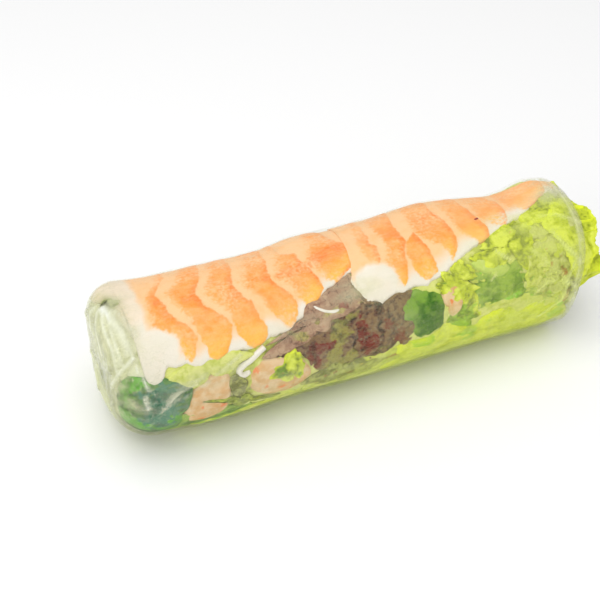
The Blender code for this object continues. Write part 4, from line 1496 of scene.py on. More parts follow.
LEAVES: tuple[LaidSheet, ...] = (
    LaidSheet(
        "dark_leaf", Leaf.DARK,
        Rim(((-9, 3), (-6, 20), (-1, 30), (5, 26), (11, 19), (17, 12), (16, 0), (13, -12), (12, -30),
             (4, -38), (-5, -36), (-8, -18))),
        0.75, slot="dark_leaf", in_cad=True, tear=0.5, tear_grain=5, crumple=0.25, grain=7, ruffle=0.1,
        seed=2, blush=patches((9, 8, 5, 12, 0.9), (6, -12, 3.5, 8, 0.8)),
        moss=patches((-1, 24, 3.5, 6, 1), (-4, -4, 2.5, 14, 0.9), (11, -16, 3, 8, 0.9), (1, -20, 4, 8, 0.8)),
        frilled=0.3,
    ),
    LaidSheet(
        "red_lettuce_leaf", Leaf.RED,
        Rim(((39.5, 17), (43, 23), (49, 29), (54, 37), (60, 46), (66, 54), (70.5, 52), (73, 36), (84, 36),
             (84, 20), (83, -6), (76, -12), (68, -7), (60, -11), (53, -7), (50.4, 2), (48.8, 12))),
        1, slot="red_lettuce", in_cad=True, tear=1.2, tear_grain=4, grain=4.2, ruffle=0.4, spacing=0.24,
        seed=4,
        blush=patches((52.5, 3, 1.4, 8, 1.2), (55.5, 13, 2.8, 3, 1), (67.8, 16, 1.2, 10, 0.9),
                      (71, 4, 1.8, 6, 1.1), (79.5, 1, 1.2, 9, 1.1), (64, 39, 1.4, 2, 1),
                      (62.5, 32, 1, 2.5, 0.9), (76, 16, 1.3, 3, 0.9)),
        moss=patches((50, 28, 5, 4, 0.8), (62, 27, 2.4, 9, 0.6), (64.5, -2, 1.2, 4, 1.2), (58, -2, 3, 5, 0.8),
                     (75, -6, 3, 4, 0.5), (82, 22, 1.6, 5, 0.6), (60, 12, 2, 10, 0.6), (66, 30, 2, 6, 0.5)),
        frilled=0.2, contrast=1.2,
    ),
    LaidSheet(
        "lettuce_scrap", Leaf.LIME,
        Rim(((39.5, -1), (40.5, 8), (43, 9), (44, 16), (48.3, 15), (49.6, 6), (49.4, -3), (48, -10),
             (46.5, -5), (44, -8), (41.5, -2))),
        0.6, in_cad=True, tear=1.2, tear_grain=2.4, crumple=0.18, grain=3.2, ruffle=0.12, spacing=0.2,
        seed=15, moss=patches((42, 3, 1.8, 5, 0.7), (48, -4, 1.6, 4, 0.6)), light=0.32, contrast=0.8,
    ),
    LaidSheet(
        "lettuce_strip", Leaf.PALE,
        Rim(((8, 20), (14, 26), (22, 27), (32, 27), (35, 22), (30, 18.5), (22, 17), (12, 16))), 0.9,
        in_cad=True, tear=0.5, crumple=0.1, grain=6, ruffle=0.1, seed=6, light=0.6, contrast=0.5,
    ),
    LaidSheet(
        "lettuce_frill", Leaf.LIME,
        Rim(((92.5, 36), (94, 46), (99, 48), (104, 44), (106, 34), (106, 26), (103.8, 24), (102, 33),
             (99, 38), (95.5, 37), (92.8, 34))),
        0.72, in_cad=True, tear=1.2, tear_grain=2.6, crumple=0.35, grain=3.8, ruffle=0.35, spacing=0.18,
        seed=7, frilled=0.6, light=0.36, contrast=1.1,
    ),
    LaidSheet(
        "paper_tucked_in", Leaf.PAPER, Rim.box((-16, 14), (26, 142)), 1.2, slot="rice_paper", crumple=0.4,
        grain=6, spacing=0.5, seed=41,
    ),
    LaidSheet(
        "paper_tucked_low", Leaf.PAPER, Rim.box((-18, -6), (-80, 32)), 1.3, slot="rice_paper", crumple=0.4,
        grain=6, spacing=0.5, seed=53,
    ),
    LaidSheet(
        "red_leaf_rib", Leaf.MAUVE,
        Rim(((36.8, 17), (38.8, 25.5), (41.5, 28.6), (45.5, 28.8), (48.5, 33.5), (51, 37.5), (57, 48.5),
             (63, 57), (68.2, 62), (69.6, 46), (70.2, 36), (66, 33), (60, 31), (54, 25), (47, 18), (42, 15))),
        0.5, slot="red_lettuce", tear=0.9, tear_grain=4, rim_drop=0.5, crumple=0.05, grain=7, ruffle=0.05,
        spacing=0.28, seed=54, blush=patches((64, 39, 1.2, 2, 0.8), (62.5, 43, 0.7, 3.5, 0.6)),
        moss=patches((50, 27, 4, 3, 0.6), (60, 37, 5, 2, 0.6)), frilled=0.2, contrast=0.6,
    ),
    LaidSheet(
        "red_leaf_behind", Leaf.RED,
        Rim(((20, 160), (26, 172), (36, 182), (48, 190), (58, 188), (64, 176), (60, 164), (52, 156),
             (42, 150), (30, 148), (22, 152))),
        0.85, slot="red_lettuce", tear=1.8, tear_grain=5, grain=4.5, ruffle=0.4, seed=56,
        blush=patches((34, 168, 3, 6, 0.9), (50, 176, 3, 5, 0.9)),
        moss=patches((42, 160, 5, 6, 0.8), (56, 184, 4, 4, 0.8)), frilled=0.2,
    ),
    LaidSheet(
        "leaf_front_lime", Leaf.LIME,
        Rim(((105, 49), (108, 54), (112, 64), (118, 68), (125, 67), (129, 56), (127.5, 45), (124.5, 38),
             (122.6, 29), (120.5, 36), (119, 46), (114, 51))),
        0.8, tear=1.9, tear_grain=3.4, crumple=0.4, ruffle=0.4, spacing=0.22, seed=30, frilled=0.6,
        light=0.18, contrast=1.3,
    ),
    LaidSheet(
        "leaf_under_tail", Leaf.LIME,
        Rim(((126, 70), (130, 80), (136, 90), (142, 92), (141, 80), (137, 70), (131, 63), (127, 64))), 0.85,
        tear_grain=2.5, crumple=0.35, grain=5.5, spacing=0.25, seed=29,
    ),
    LaidSheet(
        "leaf_end_right", Leaf.LIME,
        Rim(((132, 58), (136, 70), (141, 80), (147.5, 78), (148, 40), (143, 10), (140, 8), (137.6, 24),
             (136.8, 40), (134, 50))),
        0.72, tear=1.3, tear_grain=2.6, crumple=0.35, grain=7, spacing=0.28, seed=45, light=0.72,
        contrast=0.9,
    ),
    LaidSheet(
        "leaf_tongue", Leaf.PALE,
        Rim(((124.5, 42), (129, 45), (131, 36), (129, 22), (125.5, 12), (122.6, 14), (123, 28))), 0.95,
        tear=0.7, tear_grain=2.5, crumple=0.35, grain=3.2, ruffle=0.2, spacing=0.25, seed=28,
    ),
    LaidSheet(
        "leaf_yellow_green", Leaf.LIME,
        Rim(((93.6, -20), (94.4, 4), (98, 20), (101, 26), (104, 24), (106, 5), (105, -22), (100, -30))), 1.15,
        tear=0.8, tear_grain=2.5, crumple=0.3, grain=3.5, spacing=0.28, seed=46,
        moss=patches((102, 2, 3, 14, 0.8), (95.5, -2, 2.5, 10, 0.8), (103, -14, 2.5, 7, 0.8)), light=0.14,
    ),
    LaidSheet(
        "leaf_end_hazy", Leaf.HAZY,
        Rim(((119, 26), (124, 52), (131, 76), (146, 78), (145, 40), (140.5, 16), (137.8, -24), (134, -34),
             (128, -22), (124, 6))),
        1.4, tear=1.2, grain=4, spacing=0.32, seed=47,
        blush=patches((135.3, 19, 0.9, 3.5, 1.3), (137.2, -6.5, 0.8, 4, 1.3), (131, 27, 0.8, 2.5, 0.8),
                      (127, 66, 1.2, 3, 0.6)),
        moss=patches((133.5, -20, 2.5, 6, 1.2), (123.5, -3, 3, 7, 0.9), (130, -8, 3.5, 7, 0.7)), light=0.34,
        contrast=1.5,
    ),
    LaidSheet(
        "leaf_front_right", Leaf.GREEN,
        Rim(((99, 20), (104, 44), (118, 52), (128, 50), (131, 20), (129, -8), (124, -16), (112, -12),
             (102, -10))),
        1.7, grain=4.5, spacing=0.35, seed=31,
        moss=patches((116.5, 5, 2.2, 6, 0.9), (122.8, -3, 1.8, 8, 1.2), (110, 44, 3, 5, 0.8)),
    ),
    LaidSheet(
        "leaf_between_crab", Leaf.HAZY,
        Rim(((27.5, 9), (29.5, 11), (31.6, 6), (31.6, -4), (30.4, -10), (28.5, -8), (27.6, 0))), 0.72,
        tear=0.4, tear_grain=2, crumple=0.08, grain=3, ruffle=0.05, spacing=0.25, seed=48, frilled=0,
        light=0.06, contrast=0.25,
    ),
    LaidSheet(
        "leaf_streak", Leaf.LIME,
        Rim(((18.5, -4.4), (22, -4.6), (25.5, -7.2), (30, -11.5), (34, -15.5), (38, -18.4), (43, -22.4),
             (41.8, -24.4), (37, -20.8), (32.8, -17.8), (28, -13.2), (24, -9), (21, -6.4))),
        0.55, tear=0.15, tear_grain=2, crumple=0.04, grain=3, ruffle=0.04, spacing=0.3, seed=50, frilled=0,
        light=0.04, contrast=0.25,
    ),
    # A dark olive leaf low in the middle: painted shade for the shadow on the underside below the red leaf.
    LaidSheet(
        "leaf_low_painted_shade", Leaf.HAZY,
        Rim(((52, -12), (57, -8), (63, -10), (70, -12), (77, -15), (74, -24), (67, -29), (60, -29), (54, -25),
             (50, -18))),
        0.56, tear=1.6, tear_grain=2.5, rim_drop=0.25, crumple=0.08, grain=3, ruffle=0.05, spacing=0.3,
        seed=60, blush=patches((58, -15, 1.5, 2, 0.7), (65, -20, 1.5, 1.5, 0.7)), frilled=0, light=0.15,
        contrast=0.7,
    ),
    LaidSheet(
        "leaf_under_crab", Leaf.GREEN,
        Rim(((10, -14), (20, -22), (29, -22), (34, -26), (34, -44), (18, -46), (8, -40))), 1.1, tear=0.8,
        crumple=0.3, spacing=0.35, seed=51, light=0.45,
    ),
    LaidSheet(
        "leaf_low_a", Leaf.PALE,
        Rim(((16, -38), (28, -32), (38, -29), (50, -26), (58, -14), (70, -9), (84, -7), (88, -46), (84, -84),
             (50, -84), (14, -84), (12, -60))),
        0.7, tear=1.6, tear_grain=5, rim_drop=0.5, crumple=0.12, grain=6, spacing=0.55, seed=32,
        blush=patches((57, -16, 2, 4, 0.6), (64, -15, 4, 3.5, 0.7), (68, -21, 2, 1.5, 0.8),
                      (77, -16, 3, 2, 0.6)),
        moss=patches((24, -38, 8, 5, 0.8), (60, -16, 3, 4, 0.7), (84, -12, 2, 3, 0.8)), contrast=0.8,
    ),
    # Its high light value is painted light: green light bounced up onto the underside from below.
    LaidSheet(
        "leaf_low_b", Leaf.LIME, Rim.box((72, 139.4), (-80, -6), 0.85), 0.7, tear=2, tear_grain=6,
        rim_drop=0.5, crumple=0.12, grain=6, spacing=0.6, seed=42,
        moss=patches((104, -16, 3, 6, 0.7), (134, -24, 3, 6, 0.9), (88, -10, 7, 4, 0.7)), light=0.78,
        contrast=0.7,
    ),
    LaidSheet("leaf_front_left", Leaf.PALE, Rim.box((4, 60), (-44, 44)), 1.7, spacing=0.7, seed=33),
    LaidSheet(
        "leaf_front_middle", Leaf.PALE, Rim.box((56, 112), (-30, 66)), 2, spacing=0.7, seed=34, light=0.6,
    ),
    LaidSheet(
        "leaf_upper_right", Leaf.PALE, Rim.box((122, 147), (112, 160)), 1.2, crumple=0.4, seed=35, light=0.6,
    ),
    LaidSheet(
        "leaf_back_left", Leaf.PALE, Rim.box((-2, 62), (134, 214)), 1.1, tear=3, tear_grain=9, spacing=0.6,
        seed=36, moss=patches((12, 186, 8, 12, 0.7), (40, 150, 7, 8, 0.6)), contrast=1.2,
    ),
    LaidSheet(
        "leaf_back_middle", Leaf.GREEN, Rim.box((40, 122), (132, 214)), 1.9, tear=2, crumple=0.6,
        spacing=0.68, seed=37, light=0.6,
    ),
    LaidSheet(
        "leaf_back_right", Leaf.LIME, Rim.box((94, 146), (132, 214)), 1.1, tear=3, tear_grain=8, spacing=0.5,
        seed=38, light=0.4, contrast=1.3,
    ),
    LaidSheet(
        "leaf_back_hazy", Leaf.HAZY,
        Rim(((64, 150), (70, 164), (80, 176), (90, 186), (102, 190), (110, 182), (106, 168), (98, 158),
             (90, 146), (80, 140), (70, 141))),
        0.9, tear=2, tear_grain=5, spacing=0.5, seed=57, blush=patches((92, 170, 3, 6, 0.7)), contrast=1.2,
    ),
    LaidSheet(
        "leaf_back_low", Leaf.PALE, Rim.box((30, 108), (196, 232)), 1, tear=3, tear_grain=7, crumple=0.4,
        spacing=0.7, seed=58, contrast=1.1,
    ),
    LaidSheet(
        "leaf_low_left", Leaf.PALE, Rim.box((0, 80), (196, 290), 0.9), 1.2, crumple=0.4, grain=6, spacing=0.8,
        seed=39,
    ),
    LaidSheet(
        "leaf_low_right", Leaf.PALE, Rim.box((64, 140.6), (190, 290), 0.9), 1.2, crumple=0.4, grain=6,
        spacing=0.8, seed=40,
    ),
    # The near-black blush patch in its middle is painted shade for the dark hole of the dimple.
    LaidSheet(
        "leaf_in_dimple", Leaf.PIT,
        Rim(((-2.6, 91), (-2.2, 97), (-0.8, 100.5), (1.2, 99.5), (3.2, 95.5), (6, 90), (5.6, 87), (2.6, 87),
             (-0.8, 87))),
        0.8, wall=0.12, tear=0.5, tear_grain=1.6, rim_drop=0.5, crumple=0.1, grain=1.6, ruffle=0, spacing=0.2,
        seed=49, blush=patches((-0.6, 93.5, 1.3, 3.2, 1.6)), light=0.1, contrast=0.8,
    ),
    LaidSheet(
        "leaf_filler_low", Leaf.PALE, Rim.box((34, 138), (-46, 10), 0.85), 1.3, rim_drop=0.6, crumple=0.15,
        grain=6, spacing=0.8, seed=59, light=0.7, contrast=0.8,
    ),
    LaidSheet(
        "leaf_behind_prawn", Leaf.PALE, Rim.box((70, 134), (34, 84)), 1.5, crumple=0.3, spacing=0.8, seed=52,
        light=0.55,
    ),
)

MORSELS: tuple[Lump | Noodle, ...] = (
    Lump(
        "crab_stick_left", Flesh.CRAB,
        Rim(((16.5, 10), (20, 18), (28, 19), (29, 2), (28, -10), (27, -24), (21, -33), (14, -30), (12.5, -18),
             (14, -5))),
        0.8, 3, "crab_stick", seed=51, lumpiness=0.15,
        dark=patches((20, -30, 4, 7, 0.5), (27, -12, 3, 5, 0.3), (19, -8, 7, 18, 0.3)),
        dots=patches((19, -10, 0.45, 1.4, 0.9), (21.2, -5, 0.4, 1.2, 0.8), (25, -13, 0.8, 2, 0.9),
                     (19, -27, 1, 4, 1)),
    ),
    Lump(
        "crab_stick_middle", Flesh.CRAB,
        Rim(((33, 12), (37, 19), (42, 17), (48, 12), (53, 0), (54, -12), (50, -21), (42, -24), (35, -18),
             (32, -6))),
        0.8, 3, "crab_stick", seed=52, lumpiness=0.15,
        dark=patches((44, -20, 8, 6, 0.5), (47, -7, 4, 8, 0.3), (35, 2, 2.5, 8, 0.3)),
        dots=patches((35, 10, 0.9, 3.5, 0.7), (38, -8, 0.5, 1.6, 1), (43, -12, 1.5, 2, 0.7),
                     (47, -17, 1.6, 1.6, 0.7), (35, -14, 0.8, 2.5, 0.7)),
    ),
    Lump(
        "crab_stick_sliver", Flesh.CRAB,
        Rim(((95, 32), (97, 35), (99.6, 33), (99.8, 22), (98.8, 8), (96.5, 5), (95.3, 16))), 0.55, 1.6,
        "crab_stick", seed=53, spacing=0.25, dark=patches((99, 27, 1.5, 8, 0.5)),
        dots=patches((96.4, 21, 0.5, 2.2, 1), (99.6, 23, 0.4, 2, 0.9)),
    ),
    Lump(
        "cucumber_wedge", Flesh.SKIN,
        Rim(((77, 33), (82, 36), (90, 36), (94.5, 32), (95.6, 15), (95, -3), (89, -8), (84.5, -4), (82.5, 12),
             (79, 24))),
        0.8, 2.5, "cucumber", lumpiness=0.2, seed=54, base_tone=-0.05, rim_shade=-0.4, tear=1.3,
        dark=patches((92.4, 12, 3.2, 14, 1.2), (87.5, 6, 2.6, 10, 0.95)),
    ),
    Lump(
        "cucumber_slice", Flesh.CUCUMBER,
        Rim(((105, 45), (108, 49), (112, 47), (116, 41), (118, 33), (115, 28), (110.5, 33), (106.5, 38))),
        0.7, 1.2, "cucumber_flesh", lumpiness=0.1, seed=55,
    ),
    Noodle(
        "noodle_strand", Flesh.NOODLE,
        ((38.5, 25, 0), (36.5, 22, 0), (34, 18, 0), (31.6, 15, 0), (30.4, 11.5, 0), (31.2, 7.5, 0.1),
         (33.4, 8.5, 0.5)),
    ),
    Noodle(
        "leaf_speck", Flesh.CRIMSON, ((112.7, 80.6, -0.5), (113.3, 81, -0.54), (113.9, 81.3, -0.5)), 0.34,
        "red_lettuce", in_cad=False,
    ),
    Noodle(
        "noodle_curl", Flesh.NOODLE,
        ((53.5, 49, 0.3), (54.6, 45, -0.2), (56.3, 41, -0.42), (58.6, 37.8, -0.44), (61.2, 36.8, -0.42),
         (63.2, 38.6, 0.3)),
        0.6,
    ),
)


@dataclass
class Filling:
    """Everything inside the wrapper.

    Attributes:
        core_ends: shares of the length over which the core closes, at the left and the right.
    """

    core_depth: float = 4.6
    core_sides: int = 120
    core_rings: int = 180
    core_lowest: float = 1.6
    core_ends: tuple[float, float] = (8.0, 12.0)

    def build_core(self, material: Material) -> None:
        """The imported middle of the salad, seen only in the gaps between leaves."""
        piece, share, angle = add_ball("salad_core", self.core_sides, self.core_rings)
        length = 1.0 + (FORM.opening - 13.0) * share
        close = 1.0
        for steep, away in zip(self.core_ends, (share, 1.0 - share)):
            close = close * np.sqrt(np.clip(1.0 - np.maximum(0.0, 1.0 - steep * away) ** 2, 0.0, 1.0))
        lumps = cloud(FORM.point(length, angle, self.core_depth), 6.0, 21, 4)
        out = (FORM.radius(length, angle) - self.core_depth + 1.6 * lumps) * close
        set_points(piece, FORM.placed(length, angle, out, self.core_lowest))
        # Tone is painted light on the core's bulges and painted shade in its dips.
        paint(piece, tone=0.45 + 0.6 * lumps, frill=0.0, blush=0.0, moss=0.0)
        finish_piece(piece, material, "salad_filling")

    def build(self) -> None:
        """Builds the filling piece by piece."""
        kinds = {kind: kind.value.make() for kind in Leaf}
        self.build_core(kinds[Leaf.GREEN])
        prawn_flesh = PrawnFinish().make()
        for prawn in (PRAWN_LEFT, PRAWN_RIGHT):
            prawn.build(prawn_flesh)
        for frill in FRILLS:
            finish_piece(frill.build(), kinds[frill.leaf])
        for sheet in LEAVES:
            replaced = sheet.name if sheet.in_cad else None
            finish_piece(sheet.build(), kinds[sheet.leaf], replaced)
        fleshes = {kind: kind.value.make() for kind in Flesh}
        for morsel in MORSELS:
            morsel.build(fleshes[morsel.flesh])


# The wrapper


@dataclass(frozen=True)
class Fold:
    """A crease in the paper.

    Attributes:
        route: its line, as (length, angle) points.
        height: how far it stands up.
        milk: how milky it is.
    """

    route: Run
    width: float = 0.35
    height: float = 0.3
    milk: float = 0.5

    def near(self, spots: Array) -> Array:
        """How near each point is to its line, from 0 to 1."""
        share = np.linspace(0.0, 1.0, 40)
        knots = np.linspace(0.0, 1.0, len(self.route))
        length, angle = (np.interp(share, knots, values) for values in zip(*self.route))
        best = np.full(len(spots), np.inf)
        for spot in FORM.point(length, angle, 0.0):
            best = np.minimum(best, np.sum((spots - spot) ** 2, axis=1))
        return bell(np.sqrt(best), self.width)


@dataclass
class Wrapper:
    """The sheet of wet rice paper, gathered shut at the left end and open at the right.

    Attributes:
        slant: how far the mouth draws back at one place.
        slant_spot: (angle, reach) of that place.
        dimple: (length, angle, reach, depth) of the dimple in the shut end.
        hem: how far the rolled hem lies from the mouth.
        resting: half the angle of the underside that lies flat.
        frosts: places with fine milky specks.
        crumples: places with thin crumple lines.
    """

    sides: int = 200
    body_rings: int = 190
    end_rings: int = 34
    wall: float = 0.3
    clear: float = 0.012
    most_haze: float = 0.9
    slant: float = 6.4
    slant_spot: tuple[float, float] = (-30.0, 50.0)
    dimple: tuple[float, float, float, float] = (-0.2, 96.0, 1.1, 0.45)
    highest_fold: float = 0.45
    hem: float = 1.3
    hem_width: float = 0.8
    hem_height: float = 0.18
    hem_milk: float = 0.14
    hem_edge_milk: float = 0.34
    dimple_clearing: float = 0.45
    resting: float = 24.0
    hazes: tuple[Spot, ...] = patches(
        (-4, 66, 4, 26, 0.36), (-14, 100, 8, 50, 0.5), (-14, 240, 9, 60, 0.46), (1.2, 74, 2, 12, 0.28),
        # The spot at length 0.8 and angle 8 is a painted highlight on the paper over the dark leaf.
        (2.8, 54, 1.8, 9, 0.22), (-11, -10, 3.5, 60, 0.22), (0.8, 8, 1.6, 6, 0.12), (22, 16, 8, 5, 0.14),
        (20, -4, 9, 10, 0.05), (40, -6, 9, 10, 0.05), (48, 34, 8, 6, 0.06), (64, 50, 6, 8, 0.05),
        (100, -48, 36, 22, 0.3), (118, -10, 16, 5, 0.08), (66, -16, 22, 5, 0.1), (122, 38, 15, 26, 0.08),
        (80, 20, 3, 9, 0.14), (94.5, 4, 2, 9, 0.1), (143, 78, 4, 9, 0.22), (20, -58, 40, 12, 0.16),
        (107, 22, 6, 8, 0.04), (124, 2, 5, 10, 0.1), (135, 4, 4, 16, 0.17), (126, 64, 3, 6, 0.18),
        (131, 40, 3, 12, 0.14), (143, 92, 4, 12, 0.22), (68, 46, 5, 6, 0.12), (70, 170, 60, 40, 0.12),
        (28, 190, 16, 16, 0.14), (112, 196, 18, 14, 0.16), (70, 235, 70, 30, 0.22),
    )
    frosts: tuple[Spot, ...] = patches(
        (5, -2, 9, 18, 0.4), (-12, 60, 8, 360, 0.4), (66, 14, 13, 18, 0.4), (90, 8, 8, 14, 0.25),
        (118, 4, 14, 18, 0.4), (134, 8, 6, 18, 0.5),
    )
    crumples: tuple[Spot, ...] = patches(
        (134, 5, 7, 22, 1), (136, 60, 6, 24, 0.7), (116, 10, 8, 18, 0.5), (-8, 60, 10, 360, 0.6),
        (4, 0, 6, 24, 0.5), (50, 200, 60, 40, 0.3),
    )
    folds: tuple[Fold, ...] = (
        Fold(((14, 5), (22, 14), (35, 30)), 0.3, 0.15, 0.22),
        Fold(((2.4, 41.5), (-1.6, 35.5), (-9.8, 18.5), (-10.8, -50)), 0.4, 0.4, 0.35),
        Fold(((2.6, 35.5), (3.6, 27), (4.8, 17)), 0.3, 0.3, 0.5),
        Fold(((3.4, 13.5), (3.8, 4.5)), 0.45, 0.3, 0.5),
        Fold(((8, 1.5), (12.8, 10.5), (17.8, 13.5)), 0.3, 0.2, 0.4),
        Fold(((9, 5), (13, 13.5), (20, 17)), 0.5, 0.2, 0.25), Fold(((7, -2), (13, 6.5)), 0.25, 0.2, 0.3),
        Fold(((-0.6, 92), (1, 76), (2.2, 55), (2.4, 42)), 0.35, 0.25, 0.25),
        Fold(((-0.8, 90), (0.8, 64), (1.2, 46)), 0.4, 0.3, 0.3),
        Fold(((-1, 90), (-0.4, 80), (-1.2, 52), (-1.2, 40)), 0.4, 0.3, 0.35),
        Fold(((-1.4, 88), (-2.8, 71), (-2.6, 52), (-3, 36)), 0.45, 0.35, 0.35),
        Fold(((-2, 92), (-7.4, 78), (-11.4, 60)), 0.5, 0.35, 0.3),
        Fold(((-3, 98), (-5.6, 104), (-12, 110)), 0.5, 0.3, 0.3),
        Fold(((-0.2, 90), (3, 75), (5.2, 56)), 0.3, 0.2, 0.2),
        Fold(((-4, 150), (-9, 120), (-16, 60)), 0.6, 0.4, 0.2),
        Fold(((-5, 200), (-10, 190), (-18, 120)), 0.6, 0.4, 0.2),
        Fold(((-5, 250), (-11, 240), (-18, 200)), 0.6, 0.4, 0.2),
        Fold(((133.6, 51), (136.4, 38.7), (140, 25.8)), 0.4, 0.2, 0.45),
        Fold(((132.2, 67.7), (137.1, 65), (140.3, 58.8), (144.1, 54)), 0.4, 0.2, 0.35),
        Fold(((128, -18.4), (131.2, -12), (134.3, -7.2)), 0.25, 0.2, 0.5),
        Fold(((109.7, 28.3), (111.6, 31.6)), 0.25, 0.15, 0.4),
        Fold(((113.5, 49.5), (117.2, 39.5)), 0.35, 0.2, 0.4),
        Fold(((125, 8), (129, 16), (136, 10)), 0.25, 0.2, 0.35),
        Fold(((133.2, 22), (136.2, 9)), 0.25, 0.25, 0.4), Fold(((138.7, 25.8), (136, 12)), 0.25, 0.25, 0.4),
        Fold(((134.7, -7.5), (136, 8)), 0.3, 0.25, 0.35), Fold(((127, -2), (134, 5)), 0.25, 0.2, 0.3),
        Fold(((139.6, 2), (137, 9)), 0.25, 0.2, 0.3), Fold(((128.5, 31), (133, 20)), 0.3, 0.2, 0.3),
        Fold(((125.2, 42.4), (130, 30)), 0.3, 0.2, 0.3),
        Fold(((60, 172), (96, 188), (140, 176)), 0.35, 0.25, 0.3),
        Fold(((8, 168), (40, 186), (62, 174)), 0.35, 0.25, 0.3),
        Fold(((-2, 216), (30, 209), (70, 213), (110, 206), (146, 210)), 0.5, 0.3, 0.4),
        Fold(((110, 150), (140, 158)), 0.3, 0.2, 0.25),
    )

    def build(self) -> None:
        """Wraps a ball round the form, creases it and paints its haze."""
        rings = self.end_rings + self.body_rings + 1
        piece, share, angle = add_ball("rice_paper", self.sides, rings)
        ring = np.round(share * rings)
        start = FORM.folded_end + FORM.bend(angle)
        middle = FORM.end_middle(angle)
        on_end = middle + (start - middle) * ring / self.end_rings
        slanted = self.slant * bell(turned(angle, self.slant_spot[0]), self.slant_spot[1])
        uneven = cloud(ringed(np.radians(angle), 20.0, 0.0), 9.0, 75)
        mouth = FORM.opening - slanted - 0.5 - 0.5 * uneven
        on_body = start + (mouth - start) * (ring - self.end_rings) / self.body_rings
        length = np.where(ring < self.end_rings, on_end, np.minimum(on_body, mouth))
        spots = FORM.point(length, angle, 0.0)
        self.shape_and_paint(piece, spots, length, angle, length - mouth)
        self.open_end(piece)
        thicken(piece, self.wall)
        finish_piece(piece, PaperFinish().make(), "rice_paper_wrapper")

    def shape_and_paint(
        self, piece: Piece, spots: Array, length: Array, angle: Array, from_mouth: Array
    ) -> None:
        """Presses the dimple in, raises the folds and paints the paper.

        Args:
            piece: to be shaped.
            spots: its points on the skin.
            length: of each point.
            angle: of each point.
            from_mouth: distance of each point from the mouth, negative inside it.
        """
        rise, crease = np.zeros(len(spots)), np.zeros(len(spots))
        haze = self.clear + gathered(self.hazes, length, angle)
        for fold in self.folds:
            near = fold.near(spots)
            rise += fold.height * near
            haze += fold.milk * near
            crease += 1.5 * fold.milk * near * (0.2 + 0.8 * smooth(14.0, 4.0, length))
        wrinkle = cloud(spots * np.array([0.4, 1.0, 1.0]), 3.0, 71)
        at_length, at_angle, reach, depth = self.dimple
        dimple = bell(np.hypot(length - at_length, (angle - at_angle) * GIRTH), reach)
        shown = 0.35 + 0.65 * bell(turned(angle, 45.0), 45.0)
        hem = bell(from_mouth + self.hem, self.hem_width) * shown
        hem_edges = bell(from_mouth + 2.2 + 0.4 * wrinkle, 0.25) + bell(from_mouth + 0.3, 0.22)
        front = turned(angle, 0.0)
        depth = depth * dimple - np.minimum(rise, self.highest_fold) - self.hem_height * hem
        depth = depth - 0.05 * wrinkle * smooth(100.0, 60.0, front)
        depth = np.where(np.abs(turned(angle, -90.0)) < self.resting, 0.0, depth)
        set_points(piece, FORM.point(length, angle, depth))
        haze = haze + self.hem_milk * hem + self.hem_edge_milk * hem_edges * shown
        haze = haze - self.dimple_clearing * dimple + 0.03 * wrinkle
        # A yellow-green tint of the milk, growing towards the right and the underside and weaker on top:
        # partly painted green bounce light from below.
        lime = smooth(50.0, 140.0, length + 90.0 * smooth(10.0, -40.0, front))
        lime = lime * (1.0 - 0.85 * smooth(70.0, 88.0, angle)) + 0.12 * smooth(4.0, -2.0, length)
        paint(
            piece,
            haze=np.minimum(haze, self.most_haze),
            crumpled=gathered(self.crumples, length, angle),
            crease=crease,
            frost=gathered(self.frosts, length, angle),
            lime=lime * (1.0 - 0.7 * bell(from_mouth + self.hem, 2.0)),
        )

    @staticmethod
    def open_end(piece: Piece) -> None:
        """Takes away the pole that shuts the right end."""
        deselect()
        spots = points_of(piece)
        middle = np.hypot(spots[:, 1], spots[:, 2] - FORM.middle_height(np.array(FORM.opening)) * MM)
        right = spots[:, 0] > (FORM.opening - FORM.centre - 1.0) * MM
        pole = int(np.argmin(np.where(right, middle, 1.0)))
        for parts in (piece.data.vertices, piece.data.polygons, piece.data.edges):
            parts.foreach_set("select", np.zeros(len(parts), bool))
        piece.data.vertices[pole].select = True
        bpy.context.view_layer.objects.active = piece
        bpy.ops.object.mode_set(mode="EDIT")
        bpy.ops.mesh.select_mode(type="VERT")
        bpy.ops.mesh.delete(type="VERT")
        bpy.ops.object.mode_set(mode="OBJECT")


# Floor, light and camera


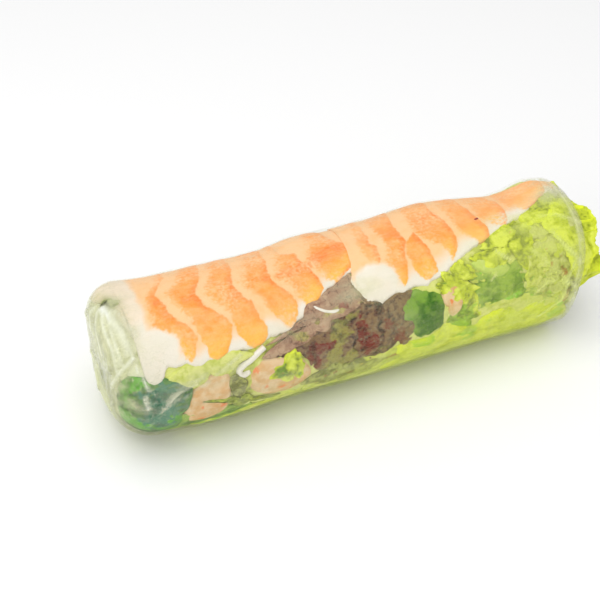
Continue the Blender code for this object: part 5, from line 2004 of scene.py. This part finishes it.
@dataclass(frozen=True)
class SoftLight:
    """A soft rectangular light that looks at the roll, in metres and watts."""

    name: str
    place: Triple
    size: tuple[float, float]
    power: float

    def build(self) -> None:
        """Adds the light."""
        deselect()
        bpy.ops.object.light_add(type="AREA", location=self.place)
        light = named(self.name)
        light.data.shape = "RECTANGLE"
        light.data.size, light.data.size_y = self.size
        light.data.energy = self.power
        light.rotation_euler = (-Vector(self.place)).to_track_quat("-Z", "Y").to_euler()


@dataclass
class Studio:
    """A pale floor in metres, soft light, and the camera in millimetres and degrees.

    Attributes:
        daylight: strength of the even light from all round.
        camera_turn: how far the camera looks to the right, in degrees.
        camera_dip: how far it looks down, in degrees.
    """

    floor_size: float = 6.0
    floor_grey: float = 0.96
    daylight: float = 0.66
    lights: tuple[SoftLight, ...] = (
        SoftLight("overhead", (-0.15, -0.1, 0.8), (0.9, 0.7), 3.4),
        SoftLight("window", (-0.7, -0.5, 0.45), (0.5, 0.5), 1.6),
    )
    camera_place: Triple = (-124.7, -248.7, 238.1)
    camera_turn: float = 23.09
    camera_dip: float = 38.0
    lens: float = 69.96
    sensor: float = 36.0

    def build(self) -> None:
        """Builds the stage, lights it and places the camera."""
        deselect()
        bpy.ops.mesh.primitive_plane_add(size=self.floor_size)
        floor = named("floor")
        grey = Recipe("pale_floor").finished(Base_Color=(self.floor_grey,) * 3, Roughness=0.7)
        floor.data.materials.append(grey)
        world = bpy.data.worlds.new("soft_room")
        world.use_nodes = True
        background = world.node_tree.nodes["Background"].inputs
        background["Color"].default_value = (*PLAIN, 1.0)
        background["Strength"].default_value = self.daylight
        bpy.context.scene.world = world
        for light in self.lights:
            light.build()
        bpy.ops.object.camera_add()
        camera = bpy.context.active_object
        camera.data.lens = self.lens
        camera.data.sensor_width = self.sensor
        camera.data.clip_start = 0.01
        camera.location = Vector(self.camera_place) * MM
        tilt = math.radians(90.0 - self.camera_dip)
        camera.rotation_euler = (tilt, 0.0, math.radians(-self.camera_turn))
        bpy.context.scene.camera = camera
        bpy.context.scene.view_settings.view_transform = "Standard"


def main() -> None:
    """Builds the roll and its stage in order."""
    logging.basicConfig(level=logging.INFO, format="%(message)s")
    Studio().build()
    Filling().build()
    Wrapper().build()


if __name__ == "__main__":
    main()
